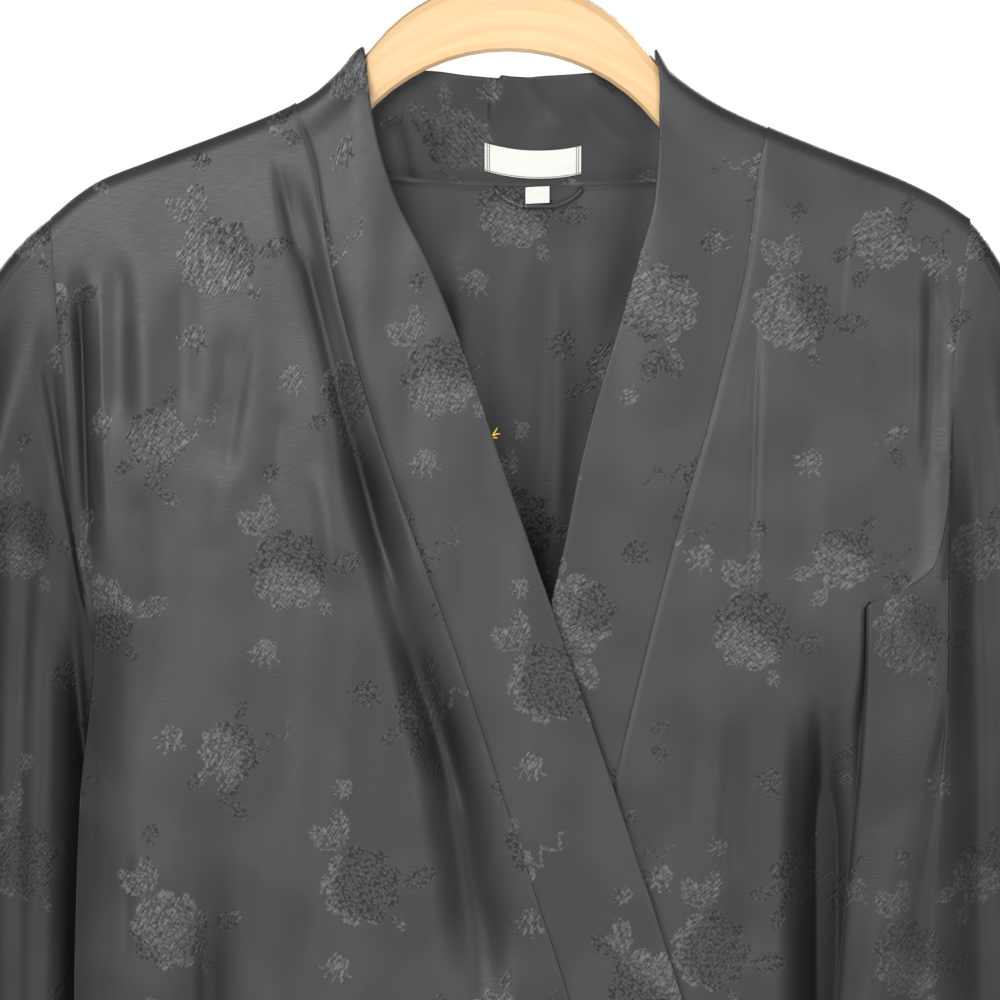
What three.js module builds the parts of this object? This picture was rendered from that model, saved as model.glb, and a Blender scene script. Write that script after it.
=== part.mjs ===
import * as THREE from 'three';

// A kimono robe that hangs on a wooden hanger, in millimetres with +Z up.
// The front faces -Y, +X is to the viewer's right, and the origin is the point
// under the hook's bow where it rests on a rail.

// Cloth
const WALL = 1.2;
const THICKEST = 2.2 * WALL;
const HALF_SEAM = 0.15;
const OVER_ARM = 9.8;
const SEAM_DEPTH = WALL + HALF_SEAM;
const HEM_Z = -1390;

// How far the two layers hang away from the middle plane, and how fast
const FRONT_SWELL = 20;
const BACK_SWELL = 15;
const SWELL_DROP = 120;
const LAP_LIFT = 3.5;
const LAP_FROM = 170;
const LAP_TO = 60;

// The top line of the robe, from sleeve tip to sleeve tip
const RIDGE = [
  { x: -245, z: -202 },
  { x: -230, z: -189.5 },
  { x: -219, z: -182.5 },
  { x: -195, z: -173 },
  { x: -152, z: -157 },
  { x: -128, z: -147.5 },
  { x: -114.5, z: -141 },
  { x: -104, z: -134.5 },
  { x: -92, z: -123.5 },
  { x: -79, z: -110.6 },
  { x: 76.5, z: -112 },
  { x: 83, z: -122 },
  { x: 91, z: -129 },
  { x: 111, z: -142 },
  { x: 136, z: -153.5 },
  { x: 168, z: -166.5 },
  { x: 189, z: -174.5 },
  { x: 210, z: -183 },
  { x: 228, z: -192 },
  { x: 245, z: -203 },
];

// Armhole and side seam of each side, with how deep the cloth stands at the seam
const LEFT_EDGE = [
  { z: -190, x: -245, depth: 9.8 },
  { z: -230, x: -243, depth: 11 },
  { z: -300, x: -236.5, depth: 12 },
  { z: -350, x: -233, depth: 11 },
  { z: -385, x: -229, depth: 7 },
  { z: -408, x: -222, depth: SEAM_DEPTH },
  { z: -420, x: -221.2, depth: SEAM_DEPTH },
  { z: -440, x: -221.4, depth: SEAM_DEPTH },
  { z: -470, x: -224.5, depth: SEAM_DEPTH },
  { z: -510, x: -229, depth: SEAM_DEPTH },
  { z: -600, x: -232, depth: SEAM_DEPTH },
  { z: -800, x: -234, depth: SEAM_DEPTH },
  { z: -1390, x: -240, depth: SEAM_DEPTH },
];
const RIGHT_EDGE = [
  { z: -190, x: 245, depth: 9.8 },
  { z: -245, x: 237, depth: 11 },
  { z: -300, x: 232.5, depth: 12 },
  { z: -350, x: 230, depth: 12 },
  { z: -385, x: 223, depth: 11 },
  { z: -399, x: 207, depth: 7.5 },
  { z: -408, x: 187, depth: SEAM_DEPTH },
  { z: -435, x: 187, depth: SEAM_DEPTH },
  { z: -500, x: 194.5, depth: SEAM_DEPTH },
  { z: -617, x: 201, depth: SEAM_DEPTH },
  { z: -800, x: 211, depth: SEAM_DEPTH },
  { z: -1390, x: 232, depth: SEAM_DEPTH },
];
const EDGE_ROUND = { left: 16, right: 40 };

// The collar band, from the shoulder down: its seam, and its free edge across from it
const OVER_BAND = [
  { seamZ: -141, seamX: -114.5, edgeX: -79, edgeZ: -110.6 },
  { seamZ: -151, seamX: -112, edgeX: -77.5, edgeZ: -121 },
  { seamZ: -173, seamX: -104.5, edgeX: -74, edgeZ: -149 },
  { seamZ: -209, seamX: -99, edgeX: -63.6, edgeZ: -187 },
  { seamZ: -245, seamX: -91.5, edgeX: -43, edgeZ: -229 },
  { seamZ: -297, seamX: -77, edgeX: -24, edgeZ: -277 },
  { seamZ: -350, seamX: -59.4, edgeX: -6, edgeZ: -331 },
  { seamZ: -431, seamX: -30, edgeX: 22.5, edgeZ: -413 },
  { seamZ: -523, seamX: 0, edgeX: 54, edgeZ: -505 },
  { seamZ: -617, seamX: 30.7, edgeX: 84.8, edgeZ: -599 },
  { seamZ: -700, seamX: 54, edgeX: 109, edgeZ: -688 },
  { seamZ: -780, seamX: 62, edgeX: 118, edgeZ: -776 },
  { seamZ: -1390, seamX: 62, edgeX: 118, edgeZ: -1390 },
];
const UNDER_BAND = [
  { seamZ: -153.5, seamX: 136, edgeX: 76.5, edgeZ: -112 },
  { seamZ: -163.3, seamX: 133.5, edgeX: 77.5, edgeZ: -124 },
  { seamZ: -179, seamX: 130.5, edgeX: 78, edgeZ: -148 },
  { seamZ: -203, seamX: 127.7, edgeX: 75.5, edgeZ: -190 },
  { seamZ: -229, seamX: 124, edgeX: 68.5, edgeZ: -218 },
  { seamZ: -268, seamX: 115, edgeX: 58, edgeZ: -254 },
  { seamZ: -310, seamX: 104.4, edgeX: 46, edgeZ: -295 },
  { seamZ: -348, seamX: 93.3, edgeX: 36, edgeZ: -333 },
  { seamZ: -396, seamX: 80, edgeX: 26, edgeZ: -382 },
  { seamZ: -523, seamX: 49, edgeX: -5, edgeZ: -511 },
  { seamZ: -617, seamX: 29, edgeX: -26, edgeZ: -606 },
  { seamZ: -700, seamX: 16, edgeX: -40, edgeZ: -692 },
  { seamZ: -780, seamX: 13, edgeX: -44, edgeZ: -778 },
  { seamZ: -1390, seamX: 13, edgeX: -44, edgeZ: -1390 },
];
const NECK_BAND = [
  { seamX: -105, seamZ: -160, edgeX: -70, edgeZ: -121 },
  { seamX: -92, seamZ: -171, edgeX: -58, edgeZ: -121.5 },
  { seamX: -65, seamZ: -180, edgeX: -42, edgeZ: -122.5 },
  { seamX: -33, seamZ: -183, edgeX: -22, edgeZ: -125 },
  { seamX: 2, seamZ: -184, edgeX: 0, edgeZ: -126.5 },
  { seamX: 38, seamZ: -183.5, edgeX: 22, edgeZ: -125 },
  { seamX: 74, seamZ: -182, edgeX: 44, edgeZ: -123.5 },
  { seamX: 104, seamZ: -176, edgeX: 60, edgeZ: -123 },
  { seamX: 124, seamZ: -168, edgeX: 71, edgeZ: -122.5 },
];

// Soft folds. depth is inwards, so a ridge has a negative one.
const FRONT_FOLDS = [
  { x1: -126, z1: -150, x2: -55, z2: -410, w1: 6, w2: 14, d1: 3, d2: 6 },
  { x1: -58, z1: -380, x2: 0, z2: -620, w1: 13, w2: 22, d1: 5, d2: 7 },
  { x1: -4, z1: -600, x2: 24, z2: -1400, w1: 20, w2: 34, d1: 6, d2: 12 },
  { x1: -208, z1: -214, x2: -206, z2: -320, w1: 7, w2: 9, d1: 3, d2: 2 },
  { x1: -149, z1: -255, x2: -152, z2: -345, w1: 8, w2: 10, d1: 2, d2: 2 },
  { x1: -160, z1: -480, x2: -172, z2: -1400, w1: 9, w2: 62, d1: 2, d2: 22 },
  { x1: -168, z1: -560, x2: -178, z2: -1400, w1: 8, w2: 22, d1: -3, d2: -12 },
  { x1: -92, z1: -560, x2: -84, z2: -1400, w1: 14, w2: 34, d1: -2, d2: -10 },
  { x1: 130, z1: -235, x2: 122, z2: -465, w1: 4, w2: 5, d1: 2, d2: 3 },
  { x1: 120, z1: -440, x2: 116, z2: -620, w1: 8, w2: 14, d1: 3, d2: 5 },
  { x1: 164, z1: -415, x2: 158, z2: -820, w1: 10, w2: 18, d1: 7, d2: 10 },
  { x1: 150, z1: -700, x2: 176, z2: -1400, w1: 16, w2: 38, d1: 4, d2: 16 },
  { x1: 100, z1: -620, x2: 92, z2: -1400, w1: 14, w2: 30, d1: -2, d2: -9 },
  { x1: 224, z1: -212, x2: 220, z2: -350, w1: 6, w2: 6, d1: 5, d2: 4 },
  { x1: -232, z1: -212, x2: -222, z2: -400, w1: 6, w2: 7, d1: 5, d2: 5 },
];
const BACK_FOLDS = [
  { x1: -120, z1: -230, x2: -150, z2: -1400, w1: 12, w2: 40, d1: 3, d2: 14 },
  { x1: -40, z1: -330, x2: -52, z2: -1400, w1: 14, w2: 36, d1: -2, d2: -12 },
  { x1: 30, z1: -280, x2: 24, z2: -1400, w1: 12, w2: 38, d1: 2, d2: 13 },
  { x1: 96, z1: -240, x2: 104, z2: -1400, w1: 14, w2: 34, d1: -3, d2: -11 },
  { x1: 150, z1: -420, x2: 172, z2: -1400, w1: 12, w2: 34, d1: 3, d2: 12 },
];
const FOLDS_FROM = 16;
const FOLDS_FULL_AT = 52;
const EDGE_CALM = 7;

// Rows of the panels: the bend over the arm, then shares of the way to the hem.
// The row at ARMHOLE_SHARE meets the bottom of the armhole.
const BEND_ANGLES = [0, 30, 60, 90].map(THREE.MathUtils.degToRad);
const ARMHOLE_SHARE = 0.1664;
const ARMHOLE_ROWS = 9;
const SHARES_BELOW = [
  0.187, 0.208, 0.231, 0.256, 0.283, 0.312, 0.345, 0.38, 0.42, 0.464, 0.52, 0.59, 0.67, 0.75, 0.83, 0.91, 1,
];
const FRONT_COLUMNS = 19;
const BACK_COLUMNS = 6;
const BAND_COLUMNS = 3;

// Sleeves
const SLEEVE_LENGTH = 380;
const SLEEVE_ROWS = [0, 0.03, 0.08, 0.15, 0.24, 0.36, 0.5, 0.66, 0.83, 1];
const SLEEVES = {
  left: {
    outerX: -311,
    innerX: -217,
    waves: 2.5,
    outerWave: 11,
    innerWave: 4,
    half: 10,
    innerHalf: 4,
    outerY: 6,
    innerY: 17,
    turnFrom: 0.55,
    turnTo: 0.84,
    outReach: 60,
  },
  right: {
    outerX: 296,
    innerX: 170,
    waves: 3,
    outerWave: 14,
    innerWave: 4,
    half: 10,
    innerHalf: 9,
    outerY: 0,
    innerY: -23,
    turnFrom: 0.25,
    turnTo: 0.7,
    outReach: 70,
  },
};
const IN_FROM = 15;
const IN_TO = 260;
const TURNED_AT = 0.2;
const WAVE_FULL_AT = 0.34;

// Hanger
const HANGER_TILT = THREE.MathUtils.degToRad(0.66);
const HANGER_THICK = 13;
const HANGER_ROUND = 5;
const ARCH_TOP = -75;
const ARCH_RADIUS = 90.6;
const ARCH_UNDER_TOP = -113;
const ARCH_UNDER_RADIUS = 100;
const ARM_FROM = 84;
const ARM_TOP_Z = -135.1;
const ARM_SLOPE = 0.3875;
const ARM_END = 207;
const ARM_HEIGHT = 28;
const HOOK_WIRE = 3.6;
const HOOK_BOW = 17;
const HOOK_SEAT = 0.3;

// Label, tag and loop
const LABEL = { left: -14.5, right: 37, top: -161.3, bottom: -178.5, sag: 1.6, thick: 0.7 };
const SIZE_TAG = { left: 7.5, right: 20, top: -184.5, bottom: -194, sag: 0, thick: 0.7 };
const LOOP = { left: -8, right: 38, top: -185, dip: 13, width: 3, thick: 1.2 };
const INSIDE_GAP = 0.3;

// A smooth curve through the rows of a table, which doesn't overshoot them
function curve(rows, from, to) {
  const sorted = [...rows].sort((a, b) => a[from] - b[from]);
  const xs = sorted.map((row) => row[from]);
  const ys = sorted.map((row) => row[to]);
  const slopes = xs.slice(1).map((x, i) => (ys[i + 1] - ys[i]) / (x - xs[i]));
  const tangents = xs.map((_, i) => {
    const before = slopes[Math.max(i - 1, 0)];
    const after = slopes[Math.min(i, slopes.length - 1)];
    return before * after <= 0 ? 0 : (2 * before * after) / (before + after);
  });
  return (x) => {
    if (x <= xs[0]) return ys[0];
    if (x >= xs.at(-1)) return ys.at(-1);
    const i = xs.findIndex((end) => end > x) - 1;
    const run = xs[i + 1] - xs[i];
    const t = (x - xs[i]) / run;
    const start = (1 + 2 * t) * (1 - t) ** 2 * ys[i] + t * (1 - t) ** 2 * run * tangents[i];
    const finish = t * t * (3 - 2 * t) * ys[i + 1] + t * t * (t - 1) * run * tangents[i + 1];
    return start + finish;
  };
}

const mix = THREE.MathUtils.lerp;
const ease = (value, from, to) => THREE.MathUtils.smoothstep(value, from, to);

const ridge = curve(RIDGE, 'x', 'z');
const leftX = curve(LEFT_EDGE, 'z', 'x');
const rightX = curve(RIGHT_EDGE, 'z', 'x');
const leftDepth = curve(LEFT_EDGE, 'z', 'depth');
const rightDepth = curve(RIGHT_EDGE, 'z', 'depth');

// How far the folds push a point inwards
function folded(folds, x, z) {
  return folds.reduce((sum, fold) => {
    const along = (fold.z1 - z) / (fold.z1 - fold.z2);
    if (along <= 0 || along >= 1) return sum;
    const off = (x - mix(fold.x1, fold.x2, along)) / mix(fold.w1, fold.w2, along);
    const ends = ease(along, 0, 0.25) * (fold.z2 < HEM_Z ? 1 : ease(1 - along, 0, 0.25));
    return sum + mix(fold.d1, fold.d2, along) * ends * Math.exp(-off * off);
  }, 0);
}

const belowRidge = (x, z) => Math.max(ridge(x) - z, 0);

// Distance of the cloth's outer face from the middle plane
function depthAt(x, z, isFront) {
  const below = belowRidge(x, z);
  if (below < OVER_ARM) return Math.sqrt(Math.max(OVER_ARM ** 2 - (OVER_ARM - below) ** 2, HALF_SEAM ** 2));
  const swell = (isFront ? FRONT_SWELL : BACK_SWELL) * (1 - Math.exp((OVER_ARM - below) / SWELL_DROP));
  const fromEdge = Math.max(x < 0 ? x - leftX(z) : rightX(z) - x, 0);
  const seamDepth = x < 0 ? leftDepth(z) : rightDepth(z);
  const round = x < 0 || !isFront ? EDGE_ROUND.left : EDGE_ROUND.right;
  const full = mix(seamDepth, OVER_ARM + swell, 1 - Math.exp(-fromEdge / round));
  const calm = ease(below, FOLDS_FROM, FOLDS_FULL_AT) * (1 - Math.exp(-fromEdge / EDGE_CALM));
  const push = folded(isFront ? FRONT_FOLDS : BACK_FOLDS, x, z) * calm;
  return Math.max(full - push, SEAM_DEPTH);
}

// Layers of the front: the left one lies over the right one
const liftOver = (x) => LAP_LIFT * ease(x, -LAP_FROM, -LAP_TO);
const liftUnder = (x) => -LAP_LIFT * ease(-x, -LAP_FROM, -LAP_TO);
const noLift = () => 0;

// One spot of cloth at x, z: its outer point and its inner point
function cloth(x, z, isFront, lift) {
  const toward = isFront ? -1 : 1;
  const below = belowRidge(x, z);
  const rise = lift(x) * ease(below, OVER_ARM, 3 * OVER_ARM);
  const depth = depthAt(x, z, isFront) + rise;
  const outer = new THREE.Vector3(x, toward * depth, z);
  if (below < OVER_ARM - 0.01) {
    const cosine = (OVER_ARM - below) / OVER_ARM;
    const sine = Math.sqrt(1 - cosine * cosine);
    const inward = Math.max(depth - WALL * sine, HALF_SEAM);
    return { outer, inner: new THREE.Vector3(x, toward * inward, z - WALL * cosine) };
  }
  const step = 1.5;
  const slopeX = (depthAt(x + step, z, isFront) - depthAt(x - step, z, isFront)) / (2 * step);
  const thick = Math.min(WALL * Math.hypot(1, slopeX), THICKEST, depth - HALF_SEAM);
  return { outer, inner: new THREE.Vector3(x, toward * (depth - thick), z) };
}

// Closed solid from rows of spots. A ring's rows close on themselves.
function wall(rows, isRing = false) {
  const across = rows[0].length;
  const positions = rows.flat().flatMap((spot) => [...spot.outer.toArray(), ...spot.inner.toArray()]);
  const corner = (row, column, side) => 2 * (row * across + (column % across)) + side;
  const indices = [];
  const quad = (a, b, c, d) => indices.push(a, b, c, a, c, d);
  const columns = isRing ? across : across - 1;
  for (let row = 0; row < rows.length - 1; row++) {
    for (let column = 0; column < columns; column++) {
      const at = (down, right, side) => corner(row + down, column + right, side);
      quad(at(0, 0, 0), at(1, 0, 0), at(1, 1, 0), at(0, 1, 0));
      quad(at(0, 0, 1), at(0, 1, 1), at(1, 1, 1), at(1, 0, 1));
    }
    if (isRing) continue;
    quad(corner(row, 0, 0), corner(row, 0, 1), corner(row + 1, 0, 1), corner(row + 1, 0, 0));
    const end = across - 1;
    quad(corner(row, end, 1), corner(row, end, 0), corner(row + 1, end, 0), corner(row + 1, end, 1));
  }
  for (let column = 0; column < columns; column++) {
    const end = rows.length - 1;
    quad(corner(0, column, 1), corner(0, column, 0), corner(0, column + 1, 0), corner(0, column + 1, 1));
    quad(corner(end, column, 0), corner(end, column, 1), corner(end, column + 1, 1), corner(end, column + 1, 0));
  }
  return closed(positions, indices);
}

// Turns the faces outwards when the solid came out inside out
function closed(positions, indices) {
  const point = (i) => new THREE.Vector3().fromArray(positions, 3 * i);
  let volume = 0;
  for (let i = 0; i < indices.length; i += 3) {
    const [a, b, c] = indices.slice(i, i + 3).map(point);
    volume += a.dot(b.cross(c)) / 6;
  }
  const faces = volume < 0 ? [...indices].reverse() : indices;
  const geometry = new THREE.BufferGeometry();
  geometry.setAttribute('position', new THREE.Float32BufferAttribute(positions, 3));
  geometry.setIndex(faces);
  return geometry;
}

// Shares of the way from the bend to the hem, for every row below the bend
const SHARES = [
  ...Array.from({ length: ARMHOLE_ROWS }, (_, i) => (ARMHOLE_SHARE * (i + 1)) / ARMHOLE_ROWS),
  ...SHARES_BELOW,
];

// Height of each row under a top point at topZ
const heights = (topZ) => [
  ...BEND_ANGLES.map((angle) => topZ - OVER_ARM * (1 - Math.cos(angle))),
  ...SHARES.map((share) => mix(topZ - OVER_ARM, HEM_Z, share)),
];

const bandSeam = { left: curve(OVER_BAND, 'seamZ', 'seamX'), right: curve(UNDER_BAND, 'seamZ', 'seamX') };

// Where each row of a side's edge lies, shared by the panels and the sleeve
function sideEdge(side) {
  const tip = side === 'left' ? RIDGE[0] : RIDGE.at(-1);
  const xAt = side === 'left' ? leftX : rightX;
  return heights(tip.z).map((z) => ({ x: xAt(z), z }));
}

function frontPanel(side) {
  const isLeft = side === 'left';
  const inward = isLeft ? 1 : -1;
  const top = (isLeft ? OVER_BAND : UNDER_BAND)[0];
  const outer = sideEdge(side);
  const inner = heights(top.seamZ).map((z) => ({ x: bandSeam[side](z), z }));
  const lift = isLeft ? liftOver : liftUnder;
  const rows = outer.map((start, row) => {
    const from = start.x + inward * HALF_SEAM;
    const to = inner[row].x - inward * HALF_SEAM;
    return Array.from({ length: FRONT_COLUMNS + 1 }, (_, column) => {
      const share = spread(column / FRONT_COLUMNS);
      const topX = mix(outer[0].x, inner[0].x, share);
      const z = heights(ridge(topX))[row];
      const x = mix(from, to, share);
      return cloth(x, share === 0 ? start.z : share === 1 ? inner[row].z : z, true, lift);
    });
  });
  return wall(rows);
}

// Columns stand closer together near the outer edge
function spread(share) {
  return 0.55 * share + 0.45 * share * share;
}

// The neck seam where it bends over the arm, on its way to the first row behind
function neckCorner(shoulder, neckRow) {
  return BEND_ANGLES.map((angle) => {
    const drop = OVER_ARM * (1 - Math.cos(angle));
    return { x: mix(shoulder.seamX, neckRow.seamX, drop / (shoulder.seamZ - neckRow.seamZ)), z: shoulder.seamZ - drop };
  });
}

function backPanel() {
  const seam = [
    ...neckCorner(OVER_BAND[0], NECK_BAND[0]),
    ...NECK_BAND.map((row) => ({ x: row.seamX, z: row.seamZ })),
    ...neckCorner(UNDER_BAND[0], NECK_BAND.at(-1)).reverse(),
  ].map((spot) => ({ x: spot.x, z: spot.z - HALF_SEAM }));
  const shoulder = (from, to) =>
    Array.from({ length: BACK_COLUMNS }, (_, i) => mix(from, to, i / BACK_COLUMNS)).map((x) => ({ x, z: ridge(x) }));
  const edges = { left: sideEdge('left'), right: sideEdge('right') };
  const left = shoulder(edges.left[0].x + HALF_SEAM, seam[0].x);
  const right = shoulder(edges.right[0].x - HALF_SEAM, seam.at(-1).x).reverse();
  const top = [...left, ...seam, ...right];
  const firstX = top[0].x;
  const width = top.at(-1).x - firstX;
  const rows = edges.left.map((_, row) => {
    const from = edges.left[row];
    const to = edges.right[row];
    return top.map((spot, column) => {
      const share = (spot.x - firstX) / width;
      const isFirst = column === 0;
      const isLast = column === top.length - 1;
      const x = spot.x + mix(from.x - edges.left[0].x, to.x - edges.right[0].x, share);
      const z = isFirst ? from.z : isLast ? to.z : heights(spot.z)[row];
      return cloth(x, z, false, noLift);
    });
  });
  const armholeRow = BEND_ANGLES.length + ARMHOLE_ROWS - 1;
  return wall(rows.filter((_, row) => row <= armholeRow || (row - armholeRow) % 2 === 0 || row === rows.length - 1));
}

// One row of spots across the band, from its seam to its free edge
function bandRow(station, isFront, lift, bend) {
  return Array.from({ length: BAND_COLUMNS + 1 }, (_, column) => {
    const share = column / BAND_COLUMNS;
    const x = mix(station.seamX, station.edgeX, share);
    const straight = mix(station.seamZ, station.edgeZ, share);
    const hugging = ridge(x) - mix(ridge(station.seamX), ridge(station.edgeX), share);
    return cloth(x, straight + bend * hugging, isFront, lift);
  });
}

function collarBand() {
  const side = (table, inward) => {
    const edgeX = curve(table, 'seamZ', 'edgeX');
    const edgeZ = curve(table, 'seamZ', 'edgeZ');
    const seamX = curve(table, 'seamZ', 'seamX');
    return heights(table[0].seamZ).map((seamZ) => ({
      seamX: seamX(seamZ) + inward * HALF_SEAM,
      seamZ,
      edgeX: edgeX(seamZ),
      edgeZ: edgeZ(seamZ),
    }));
  };
  const over = side(OVER_BAND, 1);
  const under = side(UNDER_BAND, -1);
  const bends = BEND_ANGLES.length;
  const hug = (row) => (row < bends ? 1 : Math.max(1 - (row - bends + 1) / 4, 0));
  const down = (stations, lift) => stations.map((station, row) => bandRow(station, true, lift, hug(row)));
  const behind = (table, stations, neckRow) =>
    neckCorner(table[0], neckRow)
      .slice(1)
      .map(({ x, z }, i) => bandRow({ ...stations[i + 1], seamX: x, seamZ: z + HALF_SEAM }, false, noLift, 1));
  const neck = NECK_BAND.map((station) =>
    bandRow({ ...station, seamZ: station.seamZ + HALF_SEAM }, false, noLift, 0),
  );
  return wall([
    ...down(over, liftOver).reverse(),
    ...behind(OVER_BAND, over, NECK_BAND[0]),
    ...neck,
    ...behind(UNDER_BAND, under, NECK_BAND.at(-1)).reverse(),
    ...down(under, liftUnder),
  ]);
}

function sleeve(side) {
  const shape = SLEEVES[side];
  const outward = side === 'left' ? -1 : 1;
  const depthOf = side === 'left' ? leftDepth : rightDepth;
  const armhole = sideEdge(side).slice(0, BEND_ANGLES.length + ARMHOLE_ROWS);
  const twice = armhole.flatMap((spot, i) => {
    const next = armhole[i + 1];
    const isBend = i < BEND_ANGLES.length - 1;
    return next && !isBend ? [spot, { x: mix(spot.x, next.x, 0.5), z: mix(spot.z, next.z, 0.5) }] : [spot];
  });
  const topZ = armhole[0].z;
  const fall = topZ - armhole.at(-1).z;
  const shares = twice.map((spot) => (topZ - spot.z) / fall);
  const start = (share) => {
    const z = topZ - share * fall;
    const i = Math.max(armhole.findIndex((spot) => spot.z <= z), 1);
    const before = armhole[i - 1];
    const after = armhole[i];
    const x = mix(before.x, after.x, (before.z - z) / (before.z - after.z));
    const below = topZ - z;
    const bent = below < OVER_ARM ? Math.sqrt(OVER_ARM ** 2 - (OVER_ARM - below) ** 2) : depthOf(z);
    return { x: x + outward * HALF_SEAM, z, depth: Math.min(bent, OVER_ARM + below) };
  };
  const middle = (share, along) => {
    const from = start(share);
    const drop = along * SLEEVE_LENGTH;
    const endX = mix(shape.outerX, shape.innerX, share);
    const below = topZ - fall - from.z + drop;
    const isInward = (endX - from.x) * outward < 0;
    const gone = isInward ? ease(below, IN_FROM, IN_TO) : 1 - Math.exp(-drop / shape.outReach);
    const lost = 0.18 * Math.abs(endX - from.x) * gone;
    const height = mix(shape.outerWave, shape.innerWave, ease(share, 0.25, 0.45));
    const wave = height * Math.sin(2 * Math.PI * shape.waves * share) * ease(along, 0, WAVE_FULL_AT);
    const calm = ease(share, 0, 0.12) * ease(1 - share, 0, 0.12);
    const turned = mix(shape.outerY, shape.innerY, ease(share, shape.turnFrom, shape.turnTo));
    const y = turned * ease(along, 0, TURNED_AT) + wave * calm;
    return { x: mix(from.x, endX, gone), y, z: from.z - drop + lost, depth: from.depth };
  };
  const spots = (along) => {
    const width = mix(fall, Math.abs(shape.outerX - shape.innerX), ease(along, 0, WAVE_FULL_AT));
    const inset = WALL / width;
    const ring = [...shares.map((share) => [share, -1]), ...shares.slice(1, -1).reverse().map((share) => [share, 1])];
    return ring.map(([share, toward]) => {
      const round = Math.sqrt(Math.max(1 - (2 * share - 1) ** 6, 0));
      const settled = ease(along, 0, WAVE_FULL_AT);
      const isEnd = share === 0 || share === 1;
      const at = middle(share, along);
      const hung = mix(shape.half, shape.innerHalf, ease(share, shape.turnFrom, shape.turnTo)) * round;
      const half = isEnd ? 0 : mix(at.depth, hung, settled);
      const nearer = along === 0 && !isEnd ? share : mix(inset, 1 - inset, share);
      const within = middle(nearer, along);
      const step = 0.01;
      const slope = (middle(nearer + step, along).y - middle(nearer - step, along).y) / (2 * step * width);
      const thick = Math.min(WALL * Math.hypot(1, slope), THICKEST);
      const innerHalf = isEnd ? 0 : Math.max(half - thick, 0.25 * half);
      return {
        outer: new THREE.Vector3(at.x, at.y + toward * half, at.z),
        inner: new THREE.Vector3(within.x, within.y + toward * innerHalf, within.z),
      };
    });
  };
  return wall(SLEEVE_ROWS.map(spots), true);
}

// A flat patch that lies on the inside of the back, made from the back's own depth
function patch({ left, right, top, bottom, sag, thick }, columns, lines) {
  const rows = Array.from({ length: lines + 1 }, (_, row) =>
    Array.from({ length: columns + 1 }, (_, column) => {
      const across = column / columns;
      const x = mix(left, right, across);
      const z = mix(top, bottom, row / lines) - 4 * sag * across * (1 - across);
      const inside = cloth(x, z, false, noLift).inner.y - INSIDE_GAP;
      return {
        outer: new THREE.Vector3(x, inside - thick, z),
        inner: new THREE.Vector3(x, inside, z),
      };
    }),
  );
  return wall(rows);
}

function neckLoop() {
  const steps = 14;
  const rows = Array.from({ length: 2 }, (_, row) =>
    Array.from({ length: steps + 1 }, (_, i) => {
      const across = i / steps;
      const x = mix(LOOP.left, LOOP.right, across);
      const dip = LOOP.dip * Math.sqrt(Math.sin(Math.PI * across));
      const z = LOOP.top - dip - row * LOOP.width;
      const inside = cloth(x, z, false, noLift).inner.y - INSIDE_GAP;
      return {
        outer: new THREE.Vector3(x, inside - LOOP.thick, z),
        inner: new THREE.Vector3(x, inside, z),
      };
    }),
  );
  return wall(rows);
}

function hangerBar() {
  const outline = new THREE.Shape();
  const armTop = (x) => ARM_TOP_Z - ARM_SLOPE * (Math.abs(x) - ARM_FROM);
  const slant = Math.atan(ARM_SLOPE);
  const endZ = armTop(ARM_END);
  const archAngle = Math.acos((ARM_FROM - 12) / ARCH_RADIUS);
  const archZ = ARCH_TOP - ARCH_RADIUS;
  const underZ = ARCH_UNDER_TOP - ARCH_UNDER_RADIUS;
  const underAngle = Math.acos((ARM_FROM - 6) / ARCH_UNDER_RADIUS);
  const endRound = ARM_HEIGHT / 2;
  outline.absarc(0, archZ, ARCH_RADIUS, archAngle, Math.PI - archAngle, false);
  outline.quadraticCurveTo(-ARM_FROM - 2, ARM_TOP_Z + 8, -ARM_FROM - 12, armTop(ARM_FROM + 12));
  outline.lineTo(-ARM_END, endZ);
  const foot = { x: ARM_END - endRound * Math.sin(slant), z: endZ - endRound * Math.cos(slant) };
  outline.absarc(-foot.x, foot.z, endRound, Math.PI / 2 + slant, (3 * Math.PI) / 2 + slant, false);
  outline.lineTo(-ARM_FROM - 14, armTop(ARM_FROM + 14) - ARM_HEIGHT / Math.cos(slant));
  outline.absarc(0, underZ, ARCH_UNDER_RADIUS, Math.PI - underAngle, underAngle, true);
  outline.lineTo(ARM_FROM + 14, armTop(ARM_FROM + 14) - ARM_HEIGHT / Math.cos(slant));
  outline.absarc(foot.x, foot.z, endRound, -Math.PI / 2 - slant, Math.PI / 2 - slant, false);
  outline.lineTo(ARM_FROM + 12, armTop(ARM_FROM + 12));
  outline.quadraticCurveTo(ARM_FROM + 2, ARM_TOP_Z + 8, ARM_FROM - 12, archZ + ARCH_RADIUS * Math.sin(archAngle));
  const geometry = new THREE.ExtrudeGeometry(outline, {
    depth: HANGER_THICK - 2 * HANGER_ROUND,
    bevelThickness: HANGER_ROUND,
    bevelSize: HANGER_ROUND,
    bevelOffset: -HANGER_ROUND,
    bevelSegments: 2,
    curveSegments: 8,
  });
  geometry.translate(0, 0, -HANGER_THICK / 2 + HANGER_ROUND);
  geometry.rotateX(Math.PI / 2);
  geometry.rotateY(HANGER_TILT);
  return geometry;
}

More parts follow.
